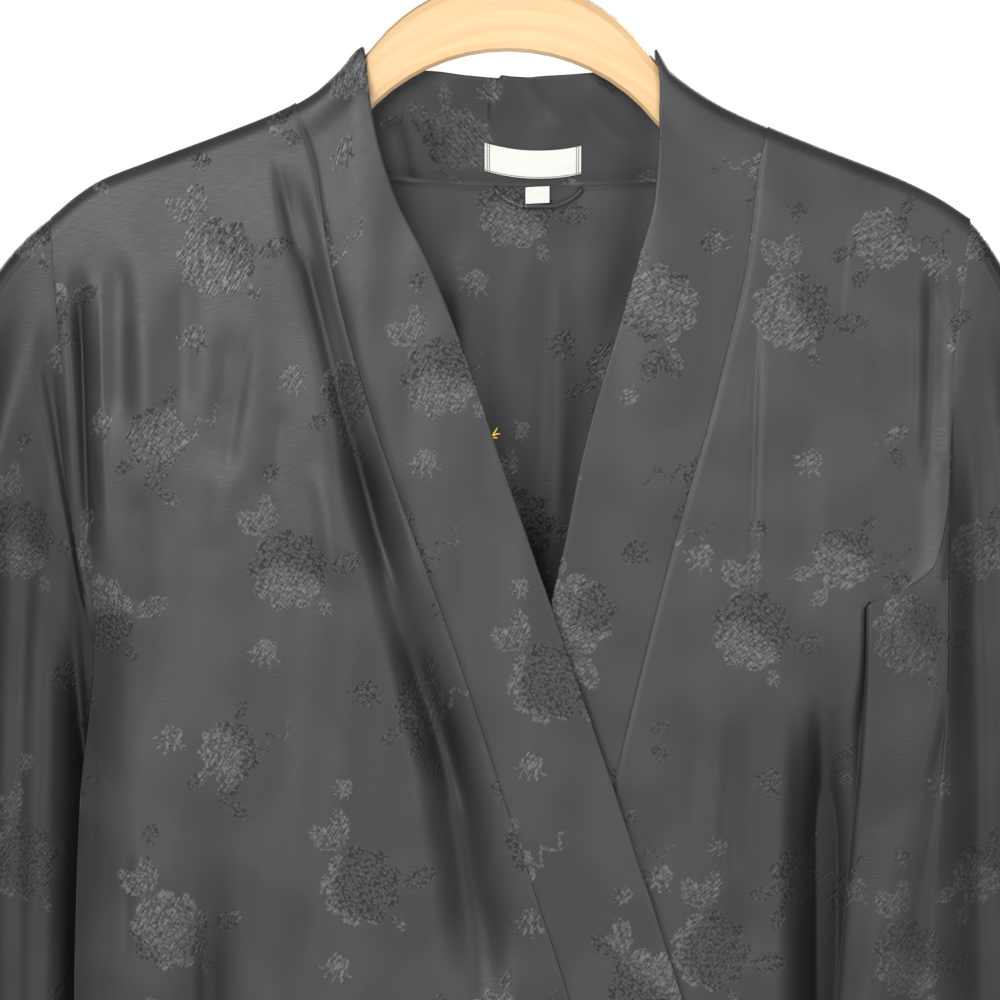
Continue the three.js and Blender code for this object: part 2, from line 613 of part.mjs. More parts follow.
function hangerHook() {
  const radius = HOOK_BOW + HOOK_WIRE / 2;
  const points = [
    new THREE.Vector3(0, ARCH_TOP + HOOK_SEAT, 0),
    new THREE.Vector3(0, ARCH_TOP + 16, 0),
    new THREE.Vector3(4, ARCH_TOP + 26, 0),
  ];
  for (let degrees = -52; degrees <= 205; degrees += 16) {
    const angle = THREE.MathUtils.degToRad(degrees);
    points.push(new THREE.Vector3(radius * Math.cos(angle), radius * Math.sin(angle) - HOOK_BOW, 0));
  }
  const section = new THREE.Shape().absarc(0, 0, HOOK_WIRE / 2, 0, 2 * Math.PI, false);
  const geometry = new THREE.ExtrudeGeometry(section, {
    extrudePath: new THREE.CatmullRomCurve3(points),
    steps: 28,
    curveSegments: 4,
  });
  geometry.rotateX(Math.PI / 2);
  geometry.rotateY(HANGER_TILT);
  return geometry;
}

const materials = {
  satin: new THREE.MeshStandardMaterial({ color: 0x2b2a2e, roughness: 0.45, metalness: 0 }),
  woven: new THREE.MeshStandardMaterial({ color: 0xf2f1ec, roughness: 0.8, metalness: 0 }),
  wood: new THREE.MeshStandardMaterial({ color: 0xe6cf9c, roughness: 0.5, metalness: 0 }),
  steel: new THREE.MeshStandardMaterial({ color: 0xc9cbce, roughness: 0.2, metalness: 1 }),
};

const robe = new THREE.Group();
function add(name, geometry, material) {
  const mesh = new THREE.Mesh(geometry, material);
  mesh.name = name;
  robe.add(mesh);
}

add('front_left', frontPanel('left'), materials.satin);
add('front_right', frontPanel('right'), materials.satin);
add('back', backPanel(), materials.satin);
add('sleeve_left', sleeve('left'), materials.satin);
add('sleeve_right', sleeve('right'), materials.satin);
add('collar_band', collarBand(), materials.satin);
add('label', patch(LABEL, 8, 2), materials.woven);
add('size_tag', patch(SIZE_TAG, 2, 2), materials.woven);
add('neck_loop', neckLoop(), materials.satin);
add('hanger_bar', hangerBar(), materials.wood);
add('hanger_hook', hangerHook(), materials.steel);

export default robe;
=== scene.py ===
import math

import bpy
import numpy as np
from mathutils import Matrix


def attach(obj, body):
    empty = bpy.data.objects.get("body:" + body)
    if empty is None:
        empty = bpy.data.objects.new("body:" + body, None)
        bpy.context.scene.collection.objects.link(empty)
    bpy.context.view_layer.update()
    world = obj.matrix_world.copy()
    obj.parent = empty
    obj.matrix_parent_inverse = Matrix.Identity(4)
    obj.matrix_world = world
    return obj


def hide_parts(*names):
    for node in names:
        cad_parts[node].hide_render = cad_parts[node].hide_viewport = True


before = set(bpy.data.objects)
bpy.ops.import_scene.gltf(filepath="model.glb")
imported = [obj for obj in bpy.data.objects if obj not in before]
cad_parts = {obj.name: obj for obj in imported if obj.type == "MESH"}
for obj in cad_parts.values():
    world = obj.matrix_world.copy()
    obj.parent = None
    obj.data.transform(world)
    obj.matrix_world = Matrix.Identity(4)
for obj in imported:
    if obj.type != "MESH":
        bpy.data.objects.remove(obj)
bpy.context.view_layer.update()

# A kimono robe on a wooden hanger. The tables and shape formulas are those of
# the CAD part, in its millimetres; a piece becomes metres when its mesh is made.
MM = 0.001
OVER_ARM = 9.8
SEAM_DEPTH = 1.35
HEM_Z = -1390
FRONT_SWELL = 20
BACK_SWELL = 15
SWELL_DROP = 120
LAP_LIFT = 3.5
LAP_FROM = 170
LAP_TO = 60
CLOTH_THICK = 0.7

# Top line of the robe: x, z
RIDGE = [
    (-245, -202), (-230, -189.5), (-219, -182.5), (-195, -173), (-152, -157), (-128, -147.5),
    (-114.5, -141), (-104, -134.5), (-92, -123.5), (-79, -110.6), (76.5, -112), (83, -122),
    (91, -129), (111, -142), (136, -153.5), (168, -166.5), (189, -174.5), (210, -183),
    (228, -192), (245, -203),
]
# Armhole and side seam: z, x, depth
LEFT_EDGE = [
    (-190, -245, 9.8), (-230, -243, 11), (-300, -236.5, 12), (-350, -233, 11), (-385, -229, 7),
    (-408, -222, SEAM_DEPTH), (-420, -221.2, SEAM_DEPTH), (-440, -221.4, SEAM_DEPTH),
    (-470, -224.5, SEAM_DEPTH), (-510, -229, SEAM_DEPTH), (-600, -232, SEAM_DEPTH),
    (-800, -234, SEAM_DEPTH), (-1390, -240, SEAM_DEPTH),
]
RIGHT_EDGE = [
    (-190, 245, 9.8), (-245, 237, 11), (-300, 232.5, 12), (-350, 230, 12), (-385, 223, 11),
    (-399, 207, 7.5), (-408, 187, SEAM_DEPTH), (-435, 187, SEAM_DEPTH), (-500, 194.5, SEAM_DEPTH),
    (-617, 201, SEAM_DEPTH), (-800, 211, SEAM_DEPTH), (-1390, 232, SEAM_DEPTH),
]
# Height of the armhole's lower end
UNDERARM_Z = -408
EDGE_ROUND_LEFT = 16
EDGE_ROUND_RIGHT = 40
# Under the right arm the seam is drawn forwards, into the sleeve's front fold: z, y
UNDERARM = [
    (-190, 0), (-290, 0), (-350, -3), (-385, -5), (-408, -8), (-430, -9), (-450, -7.5),
    (-480, -4), (-510, -1.5), (-550, 0), (-1390, 0),
]
UNDERARM_REACH = 30
# Collar band: the seam's z and x, then the x and z of the free edge across from it
OVER_BAND = [
    (-141, -114.5, -79, -110.6), (-151, -112, -77.5, -121), (-173, -104.5, -74, -149),
    (-209, -99, -63.6, -187), (-245, -91.5, -43, -229), (-297, -77, -24, -277),
    (-350, -59.4, -6, -331), (-431, -30, 22.5, -413), (-523, 0, 54, -505),
    (-617, 30.7, 84.8, -599), (-700, 54, 109, -688), (-780, 62, 118, -776), (-1390, 62, 118, -1390),
]
UNDER_BAND = [
    (-153.5, 136, 76.5, -112), (-163.3, 133.5, 77.5, -124), (-179, 130.5, 78, -148),
    (-203, 127.7, 75.5, -190), (-229, 124, 68.5, -218), (-268, 115, 58, -254),
    (-310, 104.4, 46, -295), (-348, 93.3, 36, -333), (-396, 80, 26, -382), (-523, 49, -5, -511),
    (-617, 29, -26, -606), (-700, 16, -40, -692), (-780, 13, -44, -778), (-1390, 13, -44, -1390),
]
# Behind the neck: the seam's x and z, then the free edge's x and z
NECK_BAND = [
    (-105, -160, -70, -121), (-92, -171, -58, -121.5), (-65, -180, -42, -122.5),
    (-33, -183, -22, -125), (2, -184, 0, -126.5), (38, -183.5, 22, -125), (74, -182, 44, -123.5),
    (104, -176, 60, -123), (124, -168, 71, -122.5),
]

# Folds: x and z of the top and bottom, width at both, depth at both. A ridge is negative.
FRONT_FOLDS = [
    (-126, -150, -55, -410, 6, 14, 3, 6), (-58, -380, 0, -620, 13, 22, 5, 7),
    (-4, -600, 24, -1400, 20, 34, 6, 12), (-208, -214, -206, -320, 7, 9, 3, 2),
    (-149, -255, -152, -345, 8, 10, 2, 2), (-160, -480, -172, -1400, 9, 62, 2, 22),
    (-168, -560, -178, -1400, 8, 22, -3, -12), (-92, -560, -84, -1400, 14, 34, -2, -10),
    (130, -235, 122, -465, 2.4, 3.2, 1.2, 1.6), (120, -440, 116, -620, 8, 14, 2, 5),
    (164, -415, 158, -820, 10, 18, 7, 10), (150, -700, 176, -1400, 16, 38, 4, 16),
    (100, -620, 92, -1400, 14, 30, -2, -9), (224, -212, 220, -350, 6, 6, 5, 4),
    (-232, -212, -222, -400, 6, 7, 5, 5),
]
BACK_FOLDS = [
    (-120, -230, -150, -1400, 12, 40, 3, 14), (-40, -330, -52, -1400, 14, 36, -2, -12),
    (30, -280, 24, -1400, 12, 38, 2, 13), (96, -240, 104, -1400, 14, 34, -3, -11),
    (150, -420, 172, -1400, 12, 34, 3, 12),
]
# Fold depth that gives the full painted shade in a trough
PAINTED_SHADE_DEPTH = 12
FOLDS_FROM = 16
FOLDS_FULL_AT = 52
EDGE_CALM = 7

# Finer creases than the CAD part's, uneven in length, depth and spacing
FRONT_CREASES = [
    (-136, -254, -153, -352, 3.2, 4.6, 1.0, 0.9), (-121, -300, -129, -352, 5, 7, 1.2, 1.0),
    (-173, -225, -174, -312, 7, 8, 1.5, 1.3), (-197, -340, -196, -420, 8, 9, 1.8, 1.6),
    (-202, -530, -203.5, -600, 1.8, 2.6, 1.4, 1.1), (-128, -156, -112, -232, 3, 3.4, 2.0, 2.2),
    (-113, -210, -86, -320, 3.2, 4, 2.4, 2.8), (-92, -290, -66, -396, 4, 6, 2.6, 3.0),
    (-104, -330, -90, -400, 5, 8, -1.2, -1.6), (-58, -420, -24, -520, 8, 10, 2.4, 2.6),
    (-146, -300, -158, -380, 9, 12, -1.0, -1.4), (-196, -250, -193, -330, 7, 8, -1.0, -0.8),
    (-229.5, -228, -224, -392, 3.6, 4.6, 6, 6.5), (-217.5, -226, -214.5, -396, 2.0, 2.4, -1.3, -1.1),
    (-222, -440, -219.5, -572, 1.8, 2.2, 1.2, 1.0), (-112, -540, -106, -700, 7, 12, 1.2, 1.6),
    (137, -236, 129, -470, 6, 9, -0.8, -0.9),
    (150, -440, 152, -700, 5, 7, 2.2, 2.6), (178, -196, 171, -262, 3, 4, 0.8, 0.6),
    (230, -236, 228, -346, 3.6, 4.4, 2.6, 2.4), (216, -240, 214, -330, 4, 5, -0.9, -0.7),
    (196, -236, 190, -396, 8, 12, 0.9, 1.2), (152, -232, 146, -330, 9, 12, -0.8, -0.9),
    (96, -452, 90, -600, 6, 10, 1.2, 1.4), (70, -520, 64, -640, 6, 8, 1.0, 1.2),
    (104, -196, 96, -330, 5, 8, 0.9, 0.7), (20, -560, 30, -720, 9, 12, 1.2, 1.4),
    (-92, -296, -34, -500, 8, 12, 6, 7), (-44, -440, -8, -640, 12, 16, 5, 6),
    (-162, -500, -166, -900, 9, 30, 6.5, 15), (-168, -520, -170, -900, 5, 9, -3, -5),
    (168, -400, 166, -900, 11, 17, 9, 12.5), (128, -590, 120, -800, 10, 16, 2, 4),
    (118, -446, 112, -560, 6, 9, 2, 2.6),
]
BACK_CREASES = [
    (-190, -226, -184, -420, 5, 9, 0.9, 1.2), (-84, -230, -96, -470, 5, 8, 1.2, 1.6),
    (-26, -205, -34, -420, 6, 10, 1.6, 1.8), (26, -205, 24, -400, 4, 8, 1.4, 1.8),
    (62, -230, 58, -520, 5, 9, 1.2, 1.5), (188, -240, 180, -470, 5, 8, 0.9, 1.1),
    (-210, -440, -206, -760, 4, 9, 0.8, 1.0), (128, -250, 132, -560, 4, 8, 0.8, 0.8),
    (-60, -560, -66, -1000, 7, 12, 0.9, 1.2), (4, -520, 0, -860, 6, 10, 0.8, 1.0),
    (200, -560, 204, -1000, 5, 9, 0.8, 1.0), (-150, -700, -146, -1200, 8, 12, 1.0, 1.4),
]

# Sleeves
SLEEVE_LENGTH = 380
SLEEVES = {
    "left": dict(
        outer_x=-311, inner_x=-217, waves=2.5, outer_wave=11, inner_wave=4, half=10, inner_half=4,
        outer_y=6, inner_y=17, turn_from=0.55, turn_to=0.84, out_reach=60,
    ),
    "right": dict(
        outer_x=296, inner_x=170, waves=3, outer_wave=14, inner_wave=4, half=10, inner_half=9,
        outer_y=0, inner_y=-23, turn_from=0.25, turn_to=0.7, out_reach=70,
    ),
}
IN_FROM = 15
IN_TO = 260
INWARD_BLEND = 24
FRONT_WAVE = 0.35
# Painted shade over the whole of each sleeve, darker than the body as if less lit
SLEEVE_SHADE = {"left": 0.5, "right": 0.58}
TURNED_AT = 0.3
WAVE_FULL_AT = 0.34
ARMHOLE_SHARE = 0.1664

# Label, tag and loop. sink is from the outer face of what they are sewn to.
BAND_FOLD = 0.9
LABEL = dict(
    left=-14.5, right=37, top=-161.2, height=14.8, lean=-1.6, sag=3.4, thick=0.5,
    sink=2 * BAND_FOLD + 0.6,
)
SIZE_TAG = dict(left=7.3, right=20, top=-184.4, height=8.8, lean=0.6, sag=0, thick=0.5, sink=1.7)
LOOP = dict(left=-9, right=37.5, top=-184.5, dip=10, width=1.9, thick=1.1, sink=1.7)

# The pleat in the neck band, left of the middle: z and x of its fold from the free edge down
PLEAT = [(-120, -5), (-128, -5.8), (-135, -9), (-142.4, -12.6), (-149.2, -11.1), (-156, -4.8), (-190, -2)]
# Dents in the neck band, like the folds. Positive ones come towards the throat.
NECK_DENTS = [
    (5, -122, 22, -152, 4, 6, -1.7, -1.3), (-62, -146, -54, -188, 4, 6, -1.9, -1.5),
    (38, -136, 60, -164, 4, 6, -1.5, -1.3), (-38, -124, -22, -160, 6, 8, 1.2, 1.0),
    (46, -122, 40, -150, 5, 7, 1.0, 0.8),
]


def curve(rows, start, end):
    """A smooth curve through two columns of a table, which doesn't overshoot them."""
    table = sorted(rows, key=lambda row: row[start])
    xs = np.array([row[start] for row in table], float)
    ys = np.array([row[end] for row in table], float)
    slopes = np.diff(ys) / np.diff(xs)
    before = np.concatenate([slopes[:1], slopes])
    after = np.concatenate([slopes, slopes[-1:]])
    same = before * after > 0
    tangents = np.where(same, 2 * before * after / np.where(same, before + after, 1), 0)

    def at(x):
        x = np.clip(np.asarray(x, float), xs[0], xs[-1])
        i = np.clip(np.searchsorted(xs, x, side="right") - 1, 0, len(xs) - 2)
        run = xs[i + 1] - xs[i]
        t = (x - xs[i]) / run
        first = (1 + 2 * t) * (1 - t) ** 2 * ys[i] + t * (1 - t) ** 2 * run * tangents[i]
        second = t * t * (3 - 2 * t) * ys[i + 1] + t * t * (t - 1) * run * tangents[i + 1]
        return first + second

    return at


def mix(a, b, share):
    return a + (b - a) * share


def ease(value, start, end):
    t = np.clip((value - start) / (end - start), 0, 1)
    return t * t * (3 - 2 * t)


ridge = curve(RIDGE, 0, 1)
left_x = curve(LEFT_EDGE, 0, 1)
right_x = curve(RIGHT_EDGE, 0, 1)
left_depth = curve(LEFT_EDGE, 0, 2)
right_depth = curve(RIGHT_EDGE, 0, 2)
# Where the right front starts to round back, gentler than its edge
RIGHT_SHAPE = [
    (-190, 245), (-300, 232.5), (-350, 231), (-385, 225), (-408, 218), (-440, 208), (-480, 200),
    (-530, 197), (-617, 201), (-800, 211), (-1390, 232),
]
# How far from its seam it has turned under: z, distance
TURN_UNDER = [(-408, 0.8), (-440, 1.2), (-470, 4), (-500, 8), (-600, 8)]
# Its depth where it starts to round back: z, depth
RIGHT_SHAPE_DEPTH = [
    (-190, 9.8), (-250, 12), (-300, 15), (-350, 19.5), (-385, 22.5), (-408, 22), (-440, 18),
    (-480, 8), (-530, SEAM_DEPTH), (-1390, SEAM_DEPTH),
]
right_shape = curve(RIGHT_SHAPE, 0, 1)
right_shape_depth = curve(RIGHT_SHAPE_DEPTH, 0, 1)
underarm = curve(UNDERARM, 0, 1)
turn_under = curve(TURN_UNDER, 0, 1)


def right_front(x, z, most):
    """Depth of the right front before it turns under at its side seam."""
    from_shape = np.maximum(right_shape(z) - x, 0)
    return mix(right_shape_depth(z), most, 1 - np.exp(-from_shape / EDGE_ROUND_RIGHT))


def drawn_forward(x, z):
    """How far the cloth under the right arm is drawn forwards."""
    return underarm(z) * np.exp(-np.maximum(right_shape(z) - x, 0) / UNDERARM_REACH)


def folded(folds, x, z):
    """How far the folds push a point inwards."""
    total = np.zeros(np.broadcast(x, z).shape)
    for x1, z1, x2, z2, w1, w2, d1, d2 in folds:
        along = (z1 - z) / (z1 - z2)
        inside = np.clip(along, 0, 1)
        off = (x - mix(x1, x2, inside)) / mix(w1, w2, inside)
        ends = ease(along, 0, 0.25)
        if z2 >= HEM_Z:
            ends = ends * ease(1 - along, 0, 0.25)
        total = total + mix(d1, d2, inside) * ends * np.exp(-off * off)
    return total


def ripple(x, z, seed):
    """Low, long waves of cloth that hangs free, a few tenths of a millimetre high."""
    random = np.random.default_rng(seed)
    total = 0
    for across, down, height in ((62, 520, 0.42), (37, 300, 0.22), (21, 160, 0.08)):
        for _ in range(3):
            width = across * random.uniform(0.8, 1.25)
            length = down * random.uniform(0.7, 1.4) * random.choice([-1, 1])
            phase = random.uniform(0, 2 * math.pi)
            total = total + height * np.sin(2 * math.pi * (x / width + z / length) + phase)
    return total


def below_ridge(x, z):
    return np.maximum(ridge(x) - z, 0)


def depth_at(x, z, is_front, creases=True):
    """Distance of the cloth's outer face from the middle plane."""
    below = below_ridge(x, z)
    bend = np.sqrt(np.maximum(OVER_ARM**2 - (OVER_ARM - below) ** 2, 0))
    swell = (FRONT_SWELL if is_front else BACK_SWELL) * (1 - np.exp((OVER_ARM - below) / SWELL_DROP))
    from_edge = np.maximum(np.where(x < 0, x - left_x(z), right_x(z) - x), 0)
    seam_depth = np.where(x < 0, left_depth(z), right_depth(z))
    full = mix(seam_depth, OVER_ARM + swell, 1 - np.exp(-from_edge / EDGE_ROUND_LEFT))
    if is_front:
        gentle = right_front(x, z, OVER_ARM + swell)
        turned = mix(seam_depth, gentle, 1 - np.exp(-from_edge / turn_under(z)))
        full = np.where(x < 0, full, np.where(z < UNDERARM_Z, turned, gentle))
    calm = ease(below, FOLDS_FROM, FOLDS_FULL_AT) * (1 - np.exp(-from_edge / EDGE_CALM))
    push = folded(FRONT_FOLDS if is_front else BACK_FOLDS, x, z)
    if creases:
        push = push + folded(FRONT_CREASES if is_front else BACK_CREASES, x, z)
        push = push + ripple(x, z, 4 if is_front else 9)
    return np.where(below < OVER_ARM, bend, np.maximum(full - push * calm, SEAM_DEPTH))


def painted_fold_shade(points, is_front):
    """How much painted shade each point gets from lying in a trough of the folds, below 0 on a ridge."""
    x, z = points[..., 0], points[..., 2]
    folds = FRONT_FOLDS + FRONT_CREASES if is_front else BACK_FOLDS + BACK_CREASES
    return np.clip(folded(folds, x, z) / PAINTED_SHADE_DEPTH, -0.4, 1)


def lift_over(x):
    return LAP_LIFT * ease(x, -LAP_FROM, -LAP_TO)


def lift_under(x):
    return -LAP_LIFT * ease(-x, -LAP_FROM, -LAP_TO)


def no_lift(x):
    return 0 * x


def cloth(x, z, is_front, lift, sunk=0):
    """Points of the cloth's outer face at x, z. sunk pushes them inwards."""
    rise = lift(x) * ease(below_ridge(x, z), OVER_ARM, 3 * OVER_ARM)
    depth = depth_at(x, z, is_front) + rise - sunk
    return np.stack([x, (-1 if is_front else 1) * depth + drawn_forward(x, z), z], axis=-1)


# Rows of the panels: the bend over the arm, then shares of the way to the hem
BEND_ANGLES = np.radians(np.linspace(0, 90, 10))
SHARES = np.concatenate(
    [
        np.linspace(0, ARMHOLE_SHARE, 64)[1:],
        np.linspace(ARMHOLE_SHARE, 0.37, 78)[1:],
        np.linspace(0.37, 1, 54)[1:],
    ]
)


def heights(top_z):
    """Height of each row under the points at top_z: rows first, then the points."""
    top_z = np.atleast_1d(top_z)
    bend = top_z - OVER_ARM * (1 - np.cos(BEND_ANGLES))[:, None]
    rest = mix(top_z - OVER_ARM, HEM_Z, SHARES[:, None])
    return np.concatenate([bend, rest])


def columns(count):
    """Shares across a panel, with a few close together at each seam."""
    near = [0, 0.0025, 0.0055, 0.01]
    return np.array(near + list(np.linspace(0.017, 0.983, count)) + [1 - share for share in near[::-1]])


def mesh_object(name, vertices, faces, uvs=None, hollow_and_painted_shade=None):
    """A smooth mesh from points in millimetres. uvs has one pair for each vertex, in metres.
    The last argument is painted shade for each vertex, mostly from how far it lies in a trough."""
    mesh = bpy.data.meshes.new(name)
    mesh.from_pydata((np.asarray(vertices) * MM).tolist(), [], faces)
    if uvs is not None:
        layer = mesh.uv_layers.new(name="cut")
        corners = np.empty(len(mesh.loops), dtype=np.int32)
        mesh.loops.foreach_get("vertex_index", corners)
        layer.data.foreach_set("uv", np.asarray(uvs)[corners].ravel())
    # Per-vertex painted shade, which darkens the satin's colour
    if hollow_and_painted_shade is not None:
        mesh.attributes.new("hollow_and_painted_shade", "FLOAT", "POINT").data.foreach_set("value", np.ravel(hollow_and_painted_shade))
    mesh.shade_smooth()
    mesh.validate()
    piece = bpy.data.objects.new(name, mesh)
    bpy.context.collection.objects.link(piece)
    return piece


def grid_faces(rows, across, ring=False, flip=False):
    faces = []
    for row in range(rows - 1):
        for column in range(across if ring else across - 1):
            right = (column + 1) % across
            a, b = row * across + column, row * across + right
            c, d = (row + 1) * across + right, (row + 1) * across + column
            faces.append((a, b, c, d) if flip else (d, c, b, a))
    return faces


def shell(name, points, uvs, ring=False, flip=False, thick=CLOTH_THICK, hollow_and_painted_shade=None):
    """A cloth shell: a grid of points on its outer face, with its thickness laid inwards."""
    rows, across = points.shape[:2]
    faces = grid_faces(rows, across, ring, flip)
    piece = mesh_object(name, points.reshape(-1, 3), faces, uvs.reshape(-1, 2), hollow_and_painted_shade)
    edges = np.empty(len(piece.data.loops), dtype=np.int32)
    piece.data.loops.foreach_get("edge_index", edges)
    at_border = np.bincount(edges, minlength=len(piece.data.edges)) < 2
    piece.data.attributes.new("sharp_edge", "BOOLEAN", "EDGE").data.foreach_set("value", at_border)
    solid = piece.modifiers.new("thickness", "SOLIDIFY")
    solid.thickness = thick * MM
    solid.offset = -1
    return piece


GRAIN_CALM = 41


def grain(points, origin, degrees):
    """Flat-pattern place of each point in metres, with the cloth's grain turned by degrees."""
    steps = np.diff(points, axis=1)
    run = np.cumsum(np.hypot(steps[..., 0], steps[..., 1]), axis=1)
    run = np.concatenate([np.zeros((len(points), 1)), run], axis=1)
    run *= np.sign(points[0, -1, 0] - points[0, 0, 0])
    middle = points.shape[1] // 2
    from_middle = points[..., 0] - points[:, middle : middle + 1, 0]
    extra = run - run[:, middle : middle + 1] - from_middle
    padded = np.pad(extra, ((GRAIN_CALM // 2, GRAIN_CALM // 2), (0, 0)), mode="edge")
    total = np.cumsum(np.pad(padded, ((1, 0), (0, 0))), axis=0)
    extra = (total[GRAIN_CALM:] - total[:-GRAIN_CALM]) / GRAIN_CALM
    nearest = np.argmin(np.hypot(points[..., 0] - origin[0], points[..., 2] - origin[1]))
    across = points[..., 0] + extra - extra.ravel()[nearest] - origin[0]
    down = origin[1] - points[..., 2]
    turn = math.radians(degrees)
    u = across * math.cos(turn) - down * math.sin(turn)
    v = across * math.sin(turn) + down * math.cos(turn)
    return np.stack([u, v], axis=-1) * MM


SEAM_SINK = 0.7
SEAM_REACH = 1.5

# Where a large flower's middle lies on each panel, and the turn of the grain there
FLOWER_LEFT = (-117.7, -388.8)
FLOWER_RIGHT = (126.1, -420.6)
FLOWER_BACK = (2, -196)
FLOWER_SLEEVE = {"left": (-260.8, -372.9), "right": (208.3, -592.9)}
SLEEVE_SPREAD = 1.15
GRAIN_LEFT = 13
GRAIN_RIGHT = -7.3

over_seam = curve(OVER_BAND, 0, 1)
under_seam = curve(UNDER_BAND, 0, 1)


def closing(distance):
    """Sinks the cloth a little at a seam."""
    return SEAM_SINK * np.exp(-((distance / SEAM_REACH) ** 2))


def front_panel(name, side):
    is_left = side == "left"
    tip = RIDGE[0] if is_left else RIDGE[-1]
    table = OVER_BAND if is_left else UNDER_BAND
    edge_x = left_x if is_left else right_x
    seam_x = over_seam if is_left else under_seam
    share = columns(104)
    top_x = mix(tip[0], table[0][1], share)
    top_z = ridge(top_x)
    top_z[0], top_z[-1] = tip[1], table[0][0]
    z = heights(top_z)
    start = edge_x(z[:, :1])
    end = seam_x(z[:, -1:])
    x = mix(start, end, share[None, :])
    sunk = closing(np.abs(x - end)) * ease(below_ridge(x, z), 2, 20)
    points = cloth(x, z, True, lift_over if is_left else lift_under, sunk)
    below = z[:, 0] < UNDERARM_Z
    points[below, 0, 1] = 0 if is_left else drawn_forward(right_x(z[below, 0]), z[below, 0])
    flower, turn = (FLOWER_LEFT, GRAIN_LEFT) if is_left else (FLOWER_RIGHT, GRAIN_RIGHT)
    # The panel gets painted shade in its fold troughs
    return shell(name, points, grain(points, flower, turn), flip=is_left, hollow_and_painted_shade=painted_fold_shade(points, True))


def neck_corner(shoulder, first):
    """The neck seam where it bends over the arm, on its way to the first row behind."""
    drop = OVER_ARM * (1 - np.cos(BEND_ANGLES))
    seam_x = mix(shoulder[1], first[0], drop / (shoulder[0] - first[1]))
    return seam_x, shoulder[0] - drop


def neck_stations(count):
    """The table behind the neck, drawn out to a smooth row of stations."""
    steps = np.linspace(0, len(NECK_BAND) - 1, count)
    known = [[i, *row] for i, row in enumerate(NECK_BAND)]
    return [curve(known, 0, column)(steps) for column in (1, 2, 3, 4)]


NECK_COUNT = 130


def back_panel(name):
    left_x0, left_z0 = neck_corner(OVER_BAND[0], NECK_BAND[0])
    right_x0, right_z0 = neck_corner(UNDER_BAND[0], NECK_BAND[-1])
    neck_x, neck_z, _, _ = neck_stations(NECK_COUNT)
    seam_x = np.concatenate([left_x0[:-1], neck_x, right_x0[:-1][::-1]])
    seam_z = np.concatenate([left_z0[:-1], neck_z, right_z0[:-1][::-1]])
    count = 44
    near = [0, 0.006, 0.014]
    share = np.array(near + list(np.linspace(0.024, 1, count)))[:-1]
    left = mix(RIDGE[0][0], seam_x[0], share)
    right = mix(RIDGE[-1][0], seam_x[-1], share)[::-1]
    top_x = np.concatenate([left, seam_x, right])
    top_z = np.concatenate([ridge(left), seam_z, ridge(right)])
    z = heights(top_z)
    width = top_x[-1] - top_x[0]
    share = (top_x - top_x[0]) / width
    start = left_x(z[:, :1]) - top_x[0]
    end = right_x(z[:, -1:]) - top_x[-1]
    x = top_x[None, :] + mix(start, end, share[None, :])
    neck = np.zeros_like(x)
    neck[:, len(left) : len(left) + len(seam_x)] = 1
    sunk = closing(np.maximum(top_z[None, :] - z, 0)) * neck
    points = cloth(x, z, False, no_lift, sunk)
    below = z[:, 0] < UNDERARM_Z
    points[below, 0, 1] = 0
    points[below, -1, 1] = drawn_forward(right_x(z[below, -1]), z[below, -1])
    # The back gets half as much painted shade in its fold troughs
    return shell(name, points, grain(points, FLOWER_BACK, 0), flip=False, hollow_and_painted_shade=painted_fold_shade(points, False) * 0.5)


def band_row(seam_x, seam_z, edge_x, edge_z, share, is_front, lift, bend):
    """Points across the band from seam to free edge, for a column of stations."""
    column = [np.asarray(value, float)[:, None] for value in (seam_x, seam_z, edge_x, edge_z, bend)]
    seam_x, seam_z, edge_x, edge_z, bend = column
    x = mix(seam_x, edge_x, share)
    straight = mix(seam_z, edge_z, share)
    hugging = ridge(x) - mix(ridge(seam_x), ridge(edge_x), share)
    z = straight + bend * hugging
    sunk = closing(share * np.hypot(edge_x - seam_x, edge_z - seam_z)) * ease(below_ridge(x, z), 2, 20)
    return cloth(x, z, is_front, lift, sunk)


FLOWER_BAND = 0.041
UNDER_SHIFT = 0.0245
# Painted shade over the band behind the neck, which lies in shadow
NECK_SHADE = 0.42
PLEAT_STEP = 2.4
PLEAT_RISE = 1.8


def neck_shape(points):
    """Moves points of the neck band: its pleat and dents."""
    x, z = points[..., 0], points[..., 2]
    from_fold = x - curve(PLEAT, 0, 1)(z)
    near_edge = ease(z, -160, -134)
    step = ease(from_fold, -0.5, 0.5)
    right = np.exp(-np.maximum(from_fold, 0) / 12)
    left = np.exp(np.minimum(from_fold, 0) / 6)
    towards = near_edge * PLEAT_STEP * (step * right - 0.4 * (1 - step) * left)
    towards = towards + folded(NECK_DENTS, x, z)
    lifted = PLEAT_RISE * step * right * ease(z, -140, -124)
    return points + np.stack([0 * x, -towards, lifted], axis=-1)


